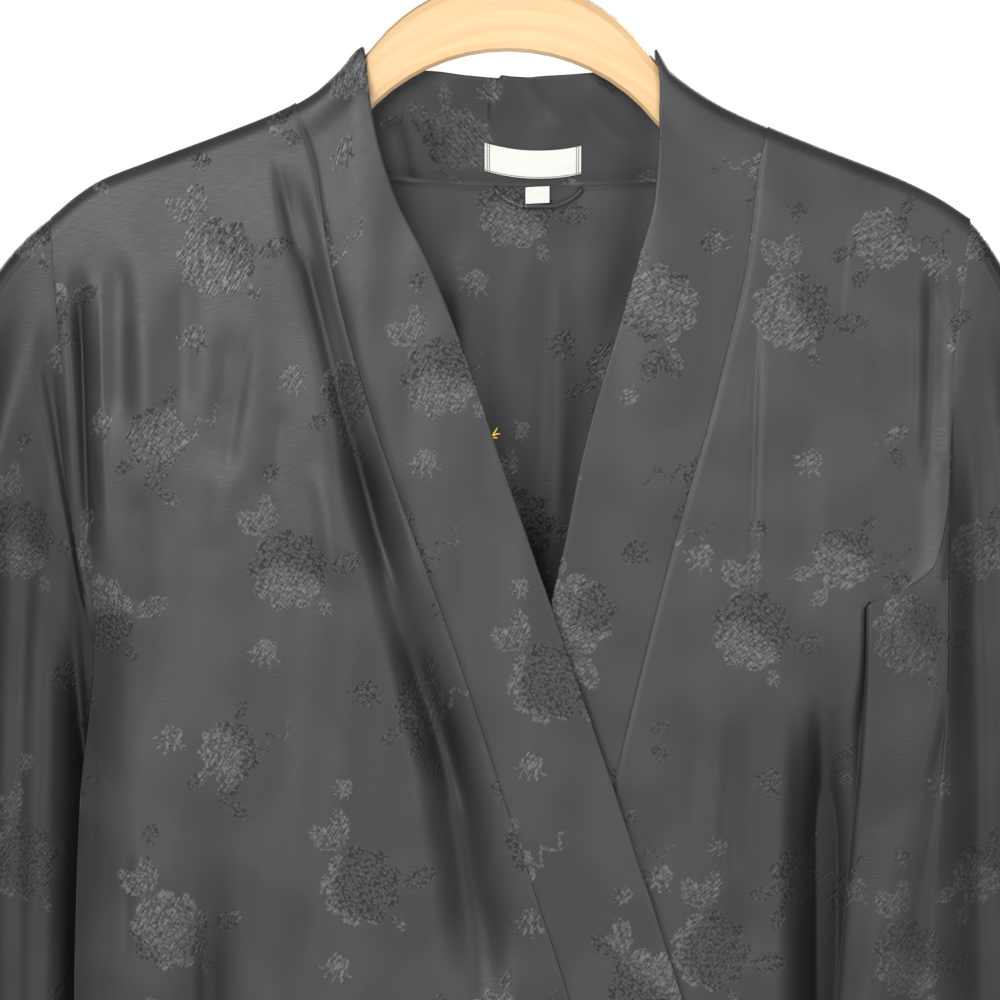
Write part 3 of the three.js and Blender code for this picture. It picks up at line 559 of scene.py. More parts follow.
def collar_band(name):
    """One strip folded in two along its length: outer layer, rounded fold, inner layer."""
    share = np.array([0, 0.01, 0.025, 0.05, *np.linspace(0.09, 0.96, 13), 0.985])
    bends = len(BEND_ANGLES)
    blend = np.maximum(1 - (np.arange(bends + len(SHARES)) - bends + 1) / 26, 0)
    blend[:bends] = 1

    def side(table, lift):
        seam_z = heights(table[0][0])[:, 0]
        seam_x, edge_x, edge_z = [curve(table, 0, column)(seam_z) for column in (1, 2, 3)]
        stations = [seam_x, seam_z, edge_x, edge_z]
        return stations, band_row(*stations, share, True, lift, blend)

    def behind(table, stations, first):
        seam_x, seam_z = neck_corner(table[0], first)
        row = [seam_x[1:], seam_z[1:], stations[2][1:bends], stations[3][1:bends]]
        return band_row(*row, share, False, no_lift, np.ones(bends - 1))

    over, over_rows = side(OVER_BAND, lift_over)
    under, under_rows = side(UNDER_BAND, lift_under)
    neck_rows = neck_shape(band_row(*neck_stations(NECK_COUNT), share, False, no_lift, np.zeros(NECK_COUNT)))
    outer = np.concatenate(
        [
            over_rows[::-1],
            behind(OVER_BAND, over, NECK_BAND[0]),
            neck_rows,
            behind(UNDER_BAND, under, NECK_BAND[-1])[::-1],
            under_rows,
        ]
    )
    along = np.gradient(outer, axis=0)
    across = np.gradient(outer, axis=1)
    normal = np.cross(across, along)
    normal /= np.linalg.norm(normal, axis=-1, keepdims=True)
    inner = outer - 2 * BAND_FOLD * normal * np.minimum(1, 0.35 + share * 8)[None, :, None]
    edge = outer[:, -1:]
    out = across[:, -1:] / np.linalg.norm(across[:, -1:], axis=-1, keepdims=True)
    turns = np.radians([36, 72, 108, 144])[None, :, None]
    middle = edge - BAND_FOLD * normal[:, -1:]
    fold = middle + BAND_FOLD * (np.cos(turns) * normal[:, -1:] + np.sin(turns) * out)
    points = np.concatenate([outer, fold, inner[:, ::-1]], axis=1)
    steps = np.linalg.norm(np.diff(points, axis=1), axis=-1)
    u = np.concatenate([np.zeros((len(points), 1)), np.cumsum(steps, axis=1)], axis=1)
    centre = outer[:, outer.shape[1] // 2]
    v = np.concatenate([[0], np.cumsum(np.linalg.norm(np.diff(centre, axis=0), axis=-1))])
    flower = np.argmin(np.abs(centre[: len(over_rows), 2] + 293.4))
    first, last = len(over_rows), len(outer) - len(under_rows)
    down = (v[flower] - v) * MM + UNDER_SHIFT * ease(np.arange(len(v)), first, last)
    uvs = np.stack([u * MM - FLOWER_BAND, np.broadcast_to(down[:, None], u.shape)], axis=-1)
    # Painted shade: fold troughs on the front-facing band are darkened, and the band behind the neck is
    # darkened all over
    shade = painted_fold_shade(points, True) * (points[..., 1] < 0) * 0.6
    shade[len(over_rows) : -len(under_rows)] = NECK_SHADE
    return shell(name, points, uvs, flip=True, thick=0.5, hollow_and_painted_shade=shade)


def sleeve(name, side):
    shape = SLEEVES[side]
    outward = -1 if side == "left" else 1
    edge_x = left_x if side == "left" else right_x
    depth_of = left_depth if side == "left" else right_depth
    top_z = (RIDGE[0] if side == "left" else RIDGE[-1])[1]
    bottom_z = mix(top_z - OVER_ARM, HEM_Z, ARMHOLE_SHARE)
    fall = top_z - bottom_z
    count = 96
    half_turn = (1 - np.cos(np.linspace(0, math.pi, count))) / 2
    shares = mix(np.linspace(0, 1, count), half_turn, 0.35)
    ring = np.concatenate([shares, shares[1:-1][::-1]])
    toward = np.concatenate([-np.ones(count), np.ones(count - 2)])
    alongs = np.linspace(0, 1, 120)[:, None]

    def middle(share, along):
        from_z = top_z - share * fall
        from_x = edge_x(from_z)
        below = share * fall
        bent = np.sqrt(np.maximum(OVER_ARM**2 - np.maximum(OVER_ARM - below, 0) ** 2, 0))
        depth = np.where(below < OVER_ARM, bent, depth_of(from_z))
        drop = along * SLEEVE_LENGTH
        end_x = mix(shape["outer_x"], shape["inner_x"], share)
        under = top_z - fall - from_z + drop
        inward = ease((from_x - end_x) * outward, -INWARD_BLEND, INWARD_BLEND)
        gone = mix(1 - np.exp(-drop / shape["out_reach"]), ease(under, IN_FROM, IN_TO), inward)
        lost = 0.18 * np.abs(end_x - from_x) * gone
        height = mix(shape["outer_wave"], shape["inner_wave"], ease(share, 0.25, 0.45))
        wave = height * np.sin(2 * math.pi * shape["waves"] * share) * ease(along, 0, WAVE_FULL_AT)
        calm = ease(share, 0, 0.12) * ease(1 - share, 0, 0.12)
        turned = mix(shape["outer_y"], shape["inner_y"], ease(share, shape["turn_from"], shape["turn_to"]))
        x = mix(from_x, end_x, gone)
        start_y = drawn_forward(from_x, from_z) if side == "right" else 0
        y = mix(start_y, turned, ease(along, 0, TURNED_AT))
        return x, y, from_z - drop + lost, np.broadcast_to(depth, x.shape), wave * calm

    x, y, z, depth, wave = middle(ring[None, :], alongs)
    rounded = np.sqrt(np.maximum(1 - (2 * ring - 1) ** 6, 0))[None, :]
    settled = ease(alongs, 0, WAVE_FULL_AT)
    is_end = ((ring == 0) | (ring == 1))[None, :]
    hung = mix(shape["half"], shape["inner_half"], ease(ring, shape["turn_from"], shape["turn_to"])) * rounded
    is_front = toward[None, :] < 0
    if side == "right":
        from_z = top_z - ring * fall
        met = depth_at(right_x(from_z), np.maximum(from_z, UNDERARM_Z), True)
        depth = np.where(is_front & (fall * ring > OVER_ARM), met, depth)
        wave = wave * np.where(is_front, FRONT_WAVE, 1)
    half = np.where(is_end, 0, mix(depth, hung, settled))
    small = ripple(x, z, 14 if side == "left" else 17) * 0.5 * rounded * settled
    down = alongs * SLEEVE_LENGTH
    if side == "left":
        seam = 0.7 * np.exp(-((down / 2.5) ** 2)) * rounded
        hollow_and_painted_shade = 4.5 * np.exp(-(((down - 11) / 7) ** 2)) * ease(ring, 0.2, 0.42) * ease(1 - ring, 0.03, 0.12)
        seam = seam - hollow_and_painted_shade * is_front
    else:
        seam = -closing(down) * rounded * (1 - ease(ring, 0.5, 0.8) * is_front)
    y = y + wave + toward[None, :] * (half + seam + small)
    points = np.stack([x, y, z], axis=-1)
    flower_x, flower_z = FLOWER_SLEEVE[side]
    u = (x - flower_x) * SLEEVE_SPREAD * -toward[None, :]
    uvs = np.stack([u * MM, (flower_z - z) * MM], axis=-1)
    # Painted shade on the left sleeve: in the gap where its front turns back beside the body, and in the dent
    # under the armhole seam
    if side == "left":
        shade = is_front * (ease(ring, 0.7, 0.82) * ease(alongs, 0, 0.1) + hollow_and_painted_shade / 9)
    else:
        # Painted shade and highlight on the right sleeve's front, in bands along its waves
        shade = is_front * 0.22 * np.sin(2 * math.pi * shape["waves"] * ring) * settled
    shade = shade + SLEEVE_SHADE[side] * ease(alongs, 0, 0.06)
    shade = np.broadcast_to(shade, u.shape)
    return shell(name, points, uvs, ring=True, flip=side == "left", hollow_and_painted_shade=shade)


def patch(name, left, right, top, height, lean, sag, thick, sink):
    """A woven patch on the inside of the back."""
    across, down = np.meshgrid(np.linspace(0, 1, 40), np.linspace(0, 1, 14))
    x = mix(left, right, across)
    z = top - height * down + lean * (across - 0.2) - 4 * sag * across * (1 - across)
    inside = depth_at(x, z, False) - sink - thick
    points = np.stack([x, inside, z], axis=-1)
    uvs = np.stack([across * (right - left), down * height], axis=-1) * MM
    return shell(name, points, uvs, flip=True, thick=thick)


def tube(name, centre, wide, thick, sides=12):
    """A closed tube along the centre points, with its two widths at each."""
    along = np.gradient(centre, axis=0)
    along /= np.linalg.norm(along, axis=-1, keepdims=True)
    across = np.cross(along, np.array([0, 1, 0]))
    across /= np.linalg.norm(across, axis=-1, keepdims=True)
    other = np.cross(across, along)
    turn = np.linspace(0, 2 * math.pi, sides + 1)[:-1][None, :, None]
    wide, thick = [np.broadcast_to(value, len(centre))[:, None, None] / 2 for value in (wide, thick)]
    ring = centre[:, None] + np.cos(turn) * across[:, None] * wide + np.sin(turn) * other[:, None] * thick
    last = sides * len(ring)
    faces = grid_faces(len(ring), sides, ring=True)
    faces += [tuple(range(sides)), tuple(range(last - 1, last - sides - 1, -1))]
    run = np.concatenate([[0], np.cumsum(np.linalg.norm(np.diff(centre, axis=0), axis=-1))])
    u = np.broadcast_to(turn[..., 0] * wide[..., 0], ring.shape[:2])
    v = np.broadcast_to(run[:, None], ring.shape[:2])
    return mesh_object(name, ring.reshape(-1, 3), faces, np.stack([u, v], axis=-1).reshape(-1, 2) * MM)


def neck_loop(name):
    """A narrow rolled tape, sewn on at both ends."""
    across = np.linspace(0, 1, 60)
    x = mix(LOOP["left"], LOOP["right"], across)
    hang = np.minimum(1, 1.12 * np.sin(math.pi * across) ** 0.62)
    z = LOOP["top"] - LOOP["dip"] * hang
    inside = depth_at(x, z, False) - LOOP["sink"] - LOOP["thick"] / 2
    return tube(name, np.stack([x, inside, z], axis=-1), LOOP["width"], LOOP["thick"])


# A tip of yellow thread beside the edge that lies on top: x and z of each strand
STRANDS = [
    [(-12.5, -320.5), (-11.0, -318.6), (-9.6, -316.6), (-8.3, -314.6), (-7.7, -313.4)],
    [(-12.5, -320.0), (-10.6, -318.2), (-8.8, -317.2), (-7.2, -316.8), (-6.2, -316.9)],
    [(-12.5, -320.8), (-10.7, -319.4), (-9.3, -318.9), (-8.2, -318.9), (-7.6, -319.3)],
]
THREAD_WIDTH = 1.15


def thread_tip(name):
    ends = []
    for number, strand in enumerate(STRANDS):
        known = [(i, x, z) for i, (x, z) in enumerate(strand)]
        steps = np.linspace(0, len(strand) - 1, 16)
        x, z = curve(known, 0, 1)(steps), curve(known, 0, 2)(steps)
        y = cloth(x, z, True, lift_over)[:, 1] + 1.6 + 0.25 * number
        width = THREAD_WIDTH * np.sqrt(np.clip(1.04 - steps / steps[-1], 0, 1))
        ends.append(tube(f"{name}_{number}", np.stack([x, y, z], axis=-1), width, width * 0.8, sides=8))
    return ends


pieces = {
    "front_left": front_panel("robe_front_left", "left"),
    "front_right": front_panel("robe_front_right", "right"),
    "back": back_panel("robe_back"),
    "sleeve_left": sleeve("robe_sleeve_left", "left"),
    "sleeve_right": sleeve("robe_sleeve_right", "right"),
    "collar_band": collar_band("robe_collar_band"),
    "label": patch("robe_label", **LABEL),
    "size_tag": patch("robe_size_tag", **SIZE_TAG),
    "neck_loop": neck_loop("robe_neck_loop"),
}
for node, piece in pieces.items():
    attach(piece, "root")
    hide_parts(node)

thread = thread_tip("yellow_thread")
for strand in thread:
    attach(strand, "root")


class Graph:
    """Short calls that add shader nodes to a node tree."""

    def __init__(self, tree):
        self.tree = tree

    def add(self, kind, **settings):
        node = self.tree.nodes.new(kind)
        for name, value in settings.items():
            setattr(node, name, value)
        return node

    def feed(self, socket, value):
        if isinstance(value, bpy.types.NodeSocket):
            self.tree.links.new(value, socket)
        else:
            socket.default_value = value

    def math(self, operation, *values):
        node = self.add("ShaderNodeMath", operation=operation)
        for socket, value in zip(node.inputs, values):
            self.feed(socket, value)
        return node.outputs[0]

    def times(self, first, second):
        return self.math("MULTIPLY", first, second)

    def plus(self, first, second):
        return self.math("ADD", first, second)

    def minus(self, first, second):
        return self.math("SUBTRACT", first, second)

    def scaled(self, value, factor, added):
        return self.math("MULTIPLY_ADD", value, factor, added)

    def smooth(self, value, low, high, start=0.0, end=1.0):
        node = self.add("ShaderNodeMapRange", interpolation_type="SMOOTHSTEP")
        names = ("Value", "From Min", "From Max", "To Min", "To Max")
        for name, entry in zip(names, (value, low, high, start, end)):
            self.feed(node.inputs[name], entry)
        return node.outputs["Result"]

    def ramp(self, value, low, high):
        """From 0 at low to 1 at high."""
        node = self.add("ShaderNodeMath", operation="MULTIPLY_ADD", use_clamp=True)
        for socket, entry in zip(node.inputs, (value, 1 / (high - low), -low / (high - low))):
            self.feed(socket, entry)
        return node.outputs[0]

    def most(self, values):
        total = values[0]
        for value in values[1:]:
            total = self.math("MAXIMUM", total, value)
        return total

    def vector(self, x, y, z=0.0):
        node = self.add("ShaderNodeCombineXYZ")
        for socket, value in zip(node.inputs, (x, y, z)):
            self.feed(socket, value)
        return node.outputs[0]

    def split(self, vector):
        node = self.add("ShaderNodeSeparateXYZ")
        self.feed(node.inputs[0], vector)
        return node.outputs

    def noise(self, vector, scale, detail=2.0, flat=False):
        node = self.add("ShaderNodeTexNoise", noise_dimensions="2D" if flat else "3D")
        self.feed(node.inputs["Vector"], vector)
        node.inputs["Scale"].default_value = scale
        node.inputs["Detail"].default_value = detail
        return node.outputs["Fac"]

    def blend(self, share, first, second):
        node = self.add("ShaderNodeMix", data_type="RGBA")
        for socket, value in zip((node.inputs[0], node.inputs[6], node.inputs[7]), (share, first, second)):
            self.feed(socket, (*value, 1) if isinstance(value, tuple) else value)
        return node.outputs[2]

    def use(self, group, *values):
        node = self.add("ShaderNodeGroup", node_tree=group)
        for socket, value in zip(node.inputs, values):
            self.feed(socket, value)
        return node.outputs


def group(name, inputs, outputs, draw):
    """A node group whose outputs are what draw returns for its inputs."""
    tree = bpy.data.node_groups.new(name, "ShaderNodeTree")
    for names, direction in ((inputs, "INPUT"), (outputs, "OUTPUT")):
        for entry in names:
            tree.interface.new_socket(entry, in_out=direction, socket_type="NodeSocketFloat")
    graph = Graph(tree)
    source = graph.add("NodeGroupInput")
    target = graph.add("NodeGroupOutput")
    for socket, value in zip(target.inputs, draw(graph, *source.outputs[: len(inputs)])):
        graph.feed(socket, value)
    return tree


def polar(graph, x, y):
    squares = graph.plus(graph.times(x, x), graph.times(y, y))
    return graph.math("SQRT", squares), graph.math("ARCTAN2", y, x)


def rim(graph, off, width):
    """1 on a line, where off is the distance from its middle."""
    return graph.ramp(graph.math("ABSOLUTE", off), width, width * 0.4)


def lobes(graph, angle, count, phase):
    """Rises and falls between 0 and 1, count times round, with sharp clefts."""
    turned = graph.scaled(angle, count / 2, phase)
    return graph.math("ABSOLUTE", graph.math("COSINE", turned))


def petals(graph, angle, count, phase, height, inside):
    return graph.scaled(graph.math("SQRT", lobes(graph, angle, count, phase)), height, inside)


# Rings of petals, in millimetres: how many, the radius at their clefts, their height, the turn
PETALS = [
    (9, 16.0, 5.6, 0.3), (8, 11.8, 4.6, 1.3), (6, 7.7, 4.1, 0.5), (5, 4.2, 3.3, 1.0),
    (3, 1.4, 2.2, 0.0),
]


def draw_peony(graph, x, y):
    radius, angle = polar(graph, x, y)
    lines, fill = [graph.ramp(lobes(graph, angle, 46, 0.2), 0.9, 1.5)], None
    for count, inside, height, phase in PETALS:
        off = graph.minus(petals(graph, angle, count, phase, height, inside), radius)
        if fill is None:
            fill = graph.ramp(off, -0.35, 0.35)
        else:
            lines.append(rim(graph, off, 0.8))
    return fill, graph.most(lines)


def draw_leaf(graph, x, y):
    """A leaf from 0 to 1 along x, on a short stem."""
    across = graph.math("ABSOLUTE", y)
    arch = graph.times(x, graph.minus(1.0, x))
    teeth = graph.math("PINGPONG", x, 0.083)
    edge = graph.scaled(teeth, 0.6, graph.scaled(arch, 1.05, -0.03))
    fill = graph.ramp(graph.minus(edge, across), -0.015, 0.015)
    slanted = graph.times(graph.minus(x, across), 6.0)
    side = graph.ramp(graph.math("FRACT", slanted), 0.3, 0.12)
    middle = graph.ramp(across, 0.045, 0.015)
    near = graph.ramp(graph.math("ABSOLUTE", graph.plus(x, 0.2)), 0.3, 0.2)
    fill = graph.scaled(middle, near, fill)
    return fill, graph.math("MAXIMUM", middle, side)


def draw_bud(graph, x, y):
    """A small round bud with whiskers on one side, about 15 mm long."""
    radius, angle = polar(graph, x, y)
    body = petals(graph, angle, 5, 0.4, 1.9, 4.3)
    hair = lobes(graph, angle, 11, 0.9)
    below = graph.ramp(graph.scaled(x, -0.6, y), -0.5, 3.0)
    hairs = graph.times(graph.times(graph.times(hair, hair), below), 10.5)
    fill = graph.ramp(graph.minus(graph.math("MAXIMUM", body, hairs), radius), -0.3, 0.3)
    inner = petals(graph, angle, 3, 0.1, 1.6, 2.0)
    return fill, rim(graph, graph.minus(inner, radius), 0.7)


def draw_tendril(graph, x, y):
    """A beaded tendril from 0 to 1 along x."""
    middle = graph.times(graph.math("SINE", graph.times(x, 12.0)), 0.13)
    off = graph.math("ABSOLUTE", graph.minus(y, middle))
    width = graph.scaled(graph.math("PINGPONG", x, 0.055), 1.2, 0.02)
    inside = graph.ramp(graph.math("ABSOLUTE", graph.minus(x, 0.5)), 0.5, 0.47)
    fill = graph.times(graph.ramp(graph.minus(width, off), -0.015, 0.015), inside)
    return fill, 0.2


# The jacquard's repeat, and its motifs one by one, in millimetres of cloth: a group's place across
# and down from a large flower, then in it kind, across, down, degrees and size. Down is to the hem.
REPEAT_ACROSS = 106.0
REPEAT_DOWN = 170.0
LARGE_FLOWER = [
    ("peony", 0, 0, 0, 1), ("leaf", -7, -20, -128, 21), ("leaf", -5, -21, -84, 22), ("leaf", 21, 5, -12, 21),
    ("leaf", 12, 18, 62, 12),
]
SMALL_FLOWER = [
    ("peony", 0, 0, 35, 0.78), ("leaf", -13, 8, 158, 15), ("leaf", -6, 15, 112, 15),
    ("leaf", 8, -14, -60, 13), ("tendril", 15, 2, -22, 24),
]
SPRIG = [("leaf", 0, 0, 50, 15), ("leaf", -2, -3, -35, 14)]
BUD = [("bud", 0, 0, 0, 1)]
SMALL_BUD = [("bud", 0, 0, 40, 0.7)]
PATTERNS = {
    "left": [
        (0, 0, LARGE_FLOWER), (-52, 86, SMALL_FLOWER), (-21, 38, BUD), (26, 71, BUD),
        (48, 112, SPRIG), (4, 118, SMALL_BUD),
    ],
    "right": [
        (0, 0, LARGE_FLOWER), (43, 126, SMALL_FLOWER), (20, 77, BUD), (-31, 134, BUD),
        (-46, 64, SPRIG), (-2, 116, SMALL_BUD),
    ],
}
PAIR = ("Across", "Down")
FIGURE = ("Figure", "Lines")
motif = {
    "peony": group("motif_peony", PAIR, FIGURE, draw_peony),
    "leaf": group("motif_leaf", PAIR, FIGURE, draw_leaf),
    "bud": group("motif_bud", PAIR, FIGURE, draw_bud),
    "tendril": group("motif_tendril", PAIR, FIGURE, draw_tendril),
}


def wrapped(graph, value, middle, repeat):
    return graph.math("WRAP", graph.minus(value, middle), repeat / 2, -repeat / 2)


def pattern(name, groups):
    """The woven figure: where it is, and the lines in it."""

    def draw(graph, across, down):
        fills, lines = [], []
        for middle_x, middle_y, motifs in groups:
            off_x = wrapped(graph, across, middle_x, REPEAT_ACROSS)
            off_y = wrapped(graph, down, middle_y, REPEAT_DOWN)
            for kind, x, y, degrees, size in motifs:
                cosine, sine = math.cos(math.radians(degrees)) / size, math.sin(math.radians(degrees)) / size
                turned_x = graph.scaled(off_y, sine, -x * cosine - y * sine)
                turned_y = graph.scaled(off_x, -sine, x * sine - y * cosine)
                turned_x = graph.scaled(off_x, cosine, turned_x)
                turned_y = graph.scaled(off_y, cosine, turned_y)
                figure = graph.use(motif[kind], turned_x, turned_y)
                fills.append(figure[0])
                lines.append(graph.times(figure[0], figure[1]))
        return graph.math("MINIMUM", graph.most(fills), 1.0), graph.math("MINIMUM", graph.most(lines), 1.0)

    return group(name, PAIR, FIGURE, draw)


def new_material(name):
    material = bpy.data.materials.new(name)
    material.use_nodes = True
    return Graph(material.node_tree), material, material.node_tree.nodes["Principled BSDF"]


def bumped(graph, height, distance, strength=1.0, under=None):
    """The normal of a relief, on top of another one where under is given."""
    bump = graph.add("ShaderNodeBump")
    bump.inputs["Distance"].default_value = distance
    graph.feed(bump.inputs["Strength"], strength)
    graph.feed(bump.inputs["Height"], height)
    if under is not None:
        graph.feed(bump.inputs["Normal"], under)
    return bump.outputs[0]


GROUND_DARK = (0.033, 0.033, 0.036)
GROUND_LIGHT = (0.042, 0.041, 0.046)
# Near-black colour of the painted shade
PAINTED_SHADE_TONE = (0.004, 0.004, 0.005)
# The figure's colour: lighter where its sheen is painted on, near-black elsewhere
FIGURE_PAINTED_SHEEN = (0.150, 0.150, 0.160)
FIGURE_DARK = (0.008, 0.008, 0.010)
# How far the painted shade attribute draws the colour to that tone
PAINTED_SHADE_SHARE = 0.92
# Widths and lengths of the weave's ribs and threads, in millimetres
RIB = 0.75
RIB_RUN = 7.0
THREAD = 1.25
THREAD_RUN = 9.0
# Spots in the figure for each millimetre, along the twill and across it
SPOTS_ALONG = 0.27
SPOTS_ACROSS = 0.42
HEM_LINE = -1.368
HEM_STITCH = 0.0032


def satin_material(side):
    """Black satin with its flower figure woven in. UV map "cut" gives the place on the cloth."""
    graph, material, shader = new_material("satin_" + side)
    cut = graph.add("ShaderNodeUVMap", uv_map="cut").outputs[0]
    u, v, _ = graph.split(cut)
    across = graph.times(u, 1000.0)
    down = graph.times(v, 1000.0)
    here = graph.vector(across, down)
    wander = graph.noise(here, 0.4, 0.0, True)
    ragged = graph.scaled(wander, 2.4, -1.2)
    flowers = pattern("flowers_" + side, PATTERNS[side])
    ragged_across = graph.plus(across, ragged)
    ragged_down = graph.minus(down, ragged)
    figure, lines = graph.use(flowers, ragged_across, ragged_down)
    diagonal = graph.plus(across, down)
    other = graph.minus(across, down)
    twill = graph.vector(graph.math("DIVIDE", diagonal, THREAD), graph.math("DIVIDE", other, THREAD_RUN))
    threads = graph.noise(twill, 1.0, 0.0, True)
    streaks = graph.ramp(threads, 0.36, 0.62)
    drift = graph.noise(here, 0.025, 0.0, True)
    patchy = graph.noise(here, 0.021, 0.0, True)
    cells = graph.add("ShaderNodeTexVoronoi", voronoi_dimensions="2D", feature="F1")
    spots = [graph.times(diagonal, SPOTS_ALONG), graph.times(other, SPOTS_ACROSS)]
    graph.feed(cells.inputs["Vector"], graph.vector(*spots))
    cells.inputs["Scale"].default_value = 1
    stitches = graph.ramp(cells.outputs["Distance"], 0.62, 0.28)
    # Painted sheen: the figure is lighter in large patches and along its thread streaks and spots, standing
    # in for the satin catching light
    painted_sheen = graph.smooth(patchy, 0.40, 0.58, 0.12, 0.92)
    painted_sheen = graph.times(painted_sheen, graph.scaled(streaks, 0.6, 0.36))
    painted_sheen = graph.scaled(graph.minus(stitches, 0.5), 0.55, painted_sheen)
    ground = graph.blend(graph.smooth(drift, 0.35, 0.65), GROUND_DARK, GROUND_LIGHT)
    drawn = graph.blend(painted_sheen, FIGURE_DARK, FIGURE_PAINTED_SHEEN)
    shown = graph.times(figure, graph.scaled(lines, -0.75, 0.88))
    tone = graph.blend(shown, ground, drawn)
    # Painted shade: the vertex attribute darkens the colour in fold troughs, on the sleeves and behind the
    # neck
    hollow_and_painted_shade = graph.add("ShaderNodeAttribute", attribute_name="hollow_and_painted_shade").outputs["Fac"]
    tone = graph.blend(graph.times(hollow_and_painted_shade, PAINTED_SHADE_SHARE), tone, PAINTED_SHADE_TONE)
    graph.feed(shader.inputs["Base Color"], tone)
    ribbed = graph.vector(graph.math("DIVIDE", across, RIB_RUN), graph.math("DIVIDE", down, RIB))
    ribs = graph.noise(ribbed, 1.0, 0.0, True)
    plain = graph.minus(1.0, figure)
    rough = graph.scaled(ribs, 0.10, 0.42)
    figure_rough = graph.scaled(streaks, -0.14, 0.52)
    rough = graph.times(rough, plain)
    rough = graph.plus(rough, graph.times(figure_rough, figure))
    graph.feed(shader.inputs["Roughness"], rough)
    shader.inputs["IOR"].default_value = 1.5
    shader.inputs["Specular IOR Level"].default_value = 0.45
    shader.inputs["Sheen Weight"].default_value = 0.12
    shader.inputs["Sheen Roughness"].default_value = 0.45
    shader.inputs["Sheen Tint"].default_value = (0.8, 0.8, 0.88, 1)
    spot = graph.add("ShaderNodeTexCoord").outputs["Object"]
    _, _, tall = graph.split(spot)
    hem = rim(graph, graph.minus(tall, HEM_LINE), 0.0006)
    stitched = graph.math("PINGPONG", graph.math("DIVIDE", u, HEM_STITCH), 0.5)
    hem = graph.times(hem, graph.smooth(stitched, 0.05, 0.15))
    weave = bumped(graph, graph.minus(graph.times(ribs, 0.18), hem), 0.0002)
    raised = graph.times(figure, graph.scaled(lines, -0.7, 1.0))
    graph.feed(shader.inputs["Normal"], bumped(graph, streaks, 0.0003, raised, weave))
    return material


def woven_material(name, selvedge):
    """White woven tape, with double dark lines near its ends where selvedge is true."""
    graph, material, shader = new_material(name)
    u, v, _ = graph.split(graph.add("ShaderNodeUVMap", uv_map="cut").outputs[0])
    across = graph.times(u, 1000.0)
    down = graph.times(v, 1000.0)
    warp = graph.math("PINGPONG", graph.times(across, 3.1), 0.5)
    weft = graph.math("PINGPONG", graph.times(down, 2.3), 0.5)
    weave = graph.plus(warp, weft)
    stain = graph.noise(graph.vector(across, down), 0.25, 3.0)
    # Painted shade: the weave's dips are darker than its raised threads, and a noise also darkens it in
    # patches
    tone = graph.blend(graph.times(weave, stain), (0.80, 0.79, 0.75), (0.93, 0.92, 0.90))
    if selvedge:
        width = LABEL["right"] - LABEL["left"]
        from_middle = graph.math("ABSOLUTE", graph.minus(across, width / 2))
        from_end = graph.minus(width / 2, from_middle)
        dark = [rim(graph, graph.minus(from_end, line), 0.42) for line in (1.3, 2.5)]
        edge = rim(graph, graph.minus(down, LABEL["height"] - 0.6), 0.35)
        tone = graph.blend(graph.times(graph.most([*dark, edge]), 0.8), tone, (0.10, 0.09, 0.09))
    graph.feed(shader.inputs["Base Color"], tone)
    graph.feed(shader.inputs["Roughness"], graph.scaled(weave, 0.1, 0.62))
    shader.inputs["Sheen Weight"].default_value = 0.2
    graph.feed(shader.inputs["Normal"], bumped(graph, weave, 0.00012))
    return material


def wood_material():
    """Pale lacquered wood. Its grain follows the hanger's arch."""
    graph, material, shader = new_material("pale_wood")
    spot = graph.add("ShaderNodeTexCoord").outputs["Object"]
    x, y, z = graph.split(spot)
    bow = graph.scaled(graph.times(x, x), 5.4, z)

    def stretched(*scales):
        return graph.vector(*[graph.times(*pair) for pair in zip((x, y, bow), scales)])

    along = stretched(9.0, 60.0, 150.0)
    fine = stretched(60.0, 500.0, 1100.0)
    rings = graph.noise(along, 1.0, 3.0)
    pores = graph.noise(fine, 1.0, 2.0)
    tone = graph.blend(graph.smooth(rings, 0.3, 0.7), (0.74, 0.465, 0.232), (0.82, 0.555, 0.30))
    tone = graph.blend(graph.smooth(pores, 0.58, 0.75, 0.0, 0.4), tone, (0.66, 0.41, 0.18))
    cloudy = graph.noise(spot, 14.0, 2.0)
    tone = graph.blend(graph.smooth(cloudy, 0.45, 0.8, 0.0, 0.35), tone, (0.80, 0.50, 0.24))
    graph.feed(shader.inputs["Base Color"], tone)
    graph.feed(shader.inputs["Roughness"], graph.scaled(rings, 0.18, 0.34))
    shader.inputs["Coat Weight"].default_value = 0.35
    shader.inputs["Coat Roughness"].default_value = 0.22
    relief = graph.scaled(pores, -0.6, rings)
    graph.feed(shader.inputs["Normal"], bumped(graph, relief, 0.00015))
    return material


def steel_material():
    """Plated wire with faint drawing marks."""
    graph, material, shader = new_material("plated_wire")
    spot = graph.add("ShaderNodeTexCoord").outputs["Object"]
    marks = graph.noise(spot, 900.0, 3.0)
    worn = graph.noise(spot, 60.0, 2.0)
    graph.feed(shader.inputs["Base Color"], graph.blend(worn, (0.56, 0.57, 0.59), (0.72, 0.73, 0.75)))
    graph.feed(shader.inputs["Roughness"], graph.scaled(marks, 0.16, 0.14))
    shader.inputs["Metallic"].default_value = 1
    graph.feed(shader.inputs["Normal"], bumped(graph, marks, 0.00003))
    return material


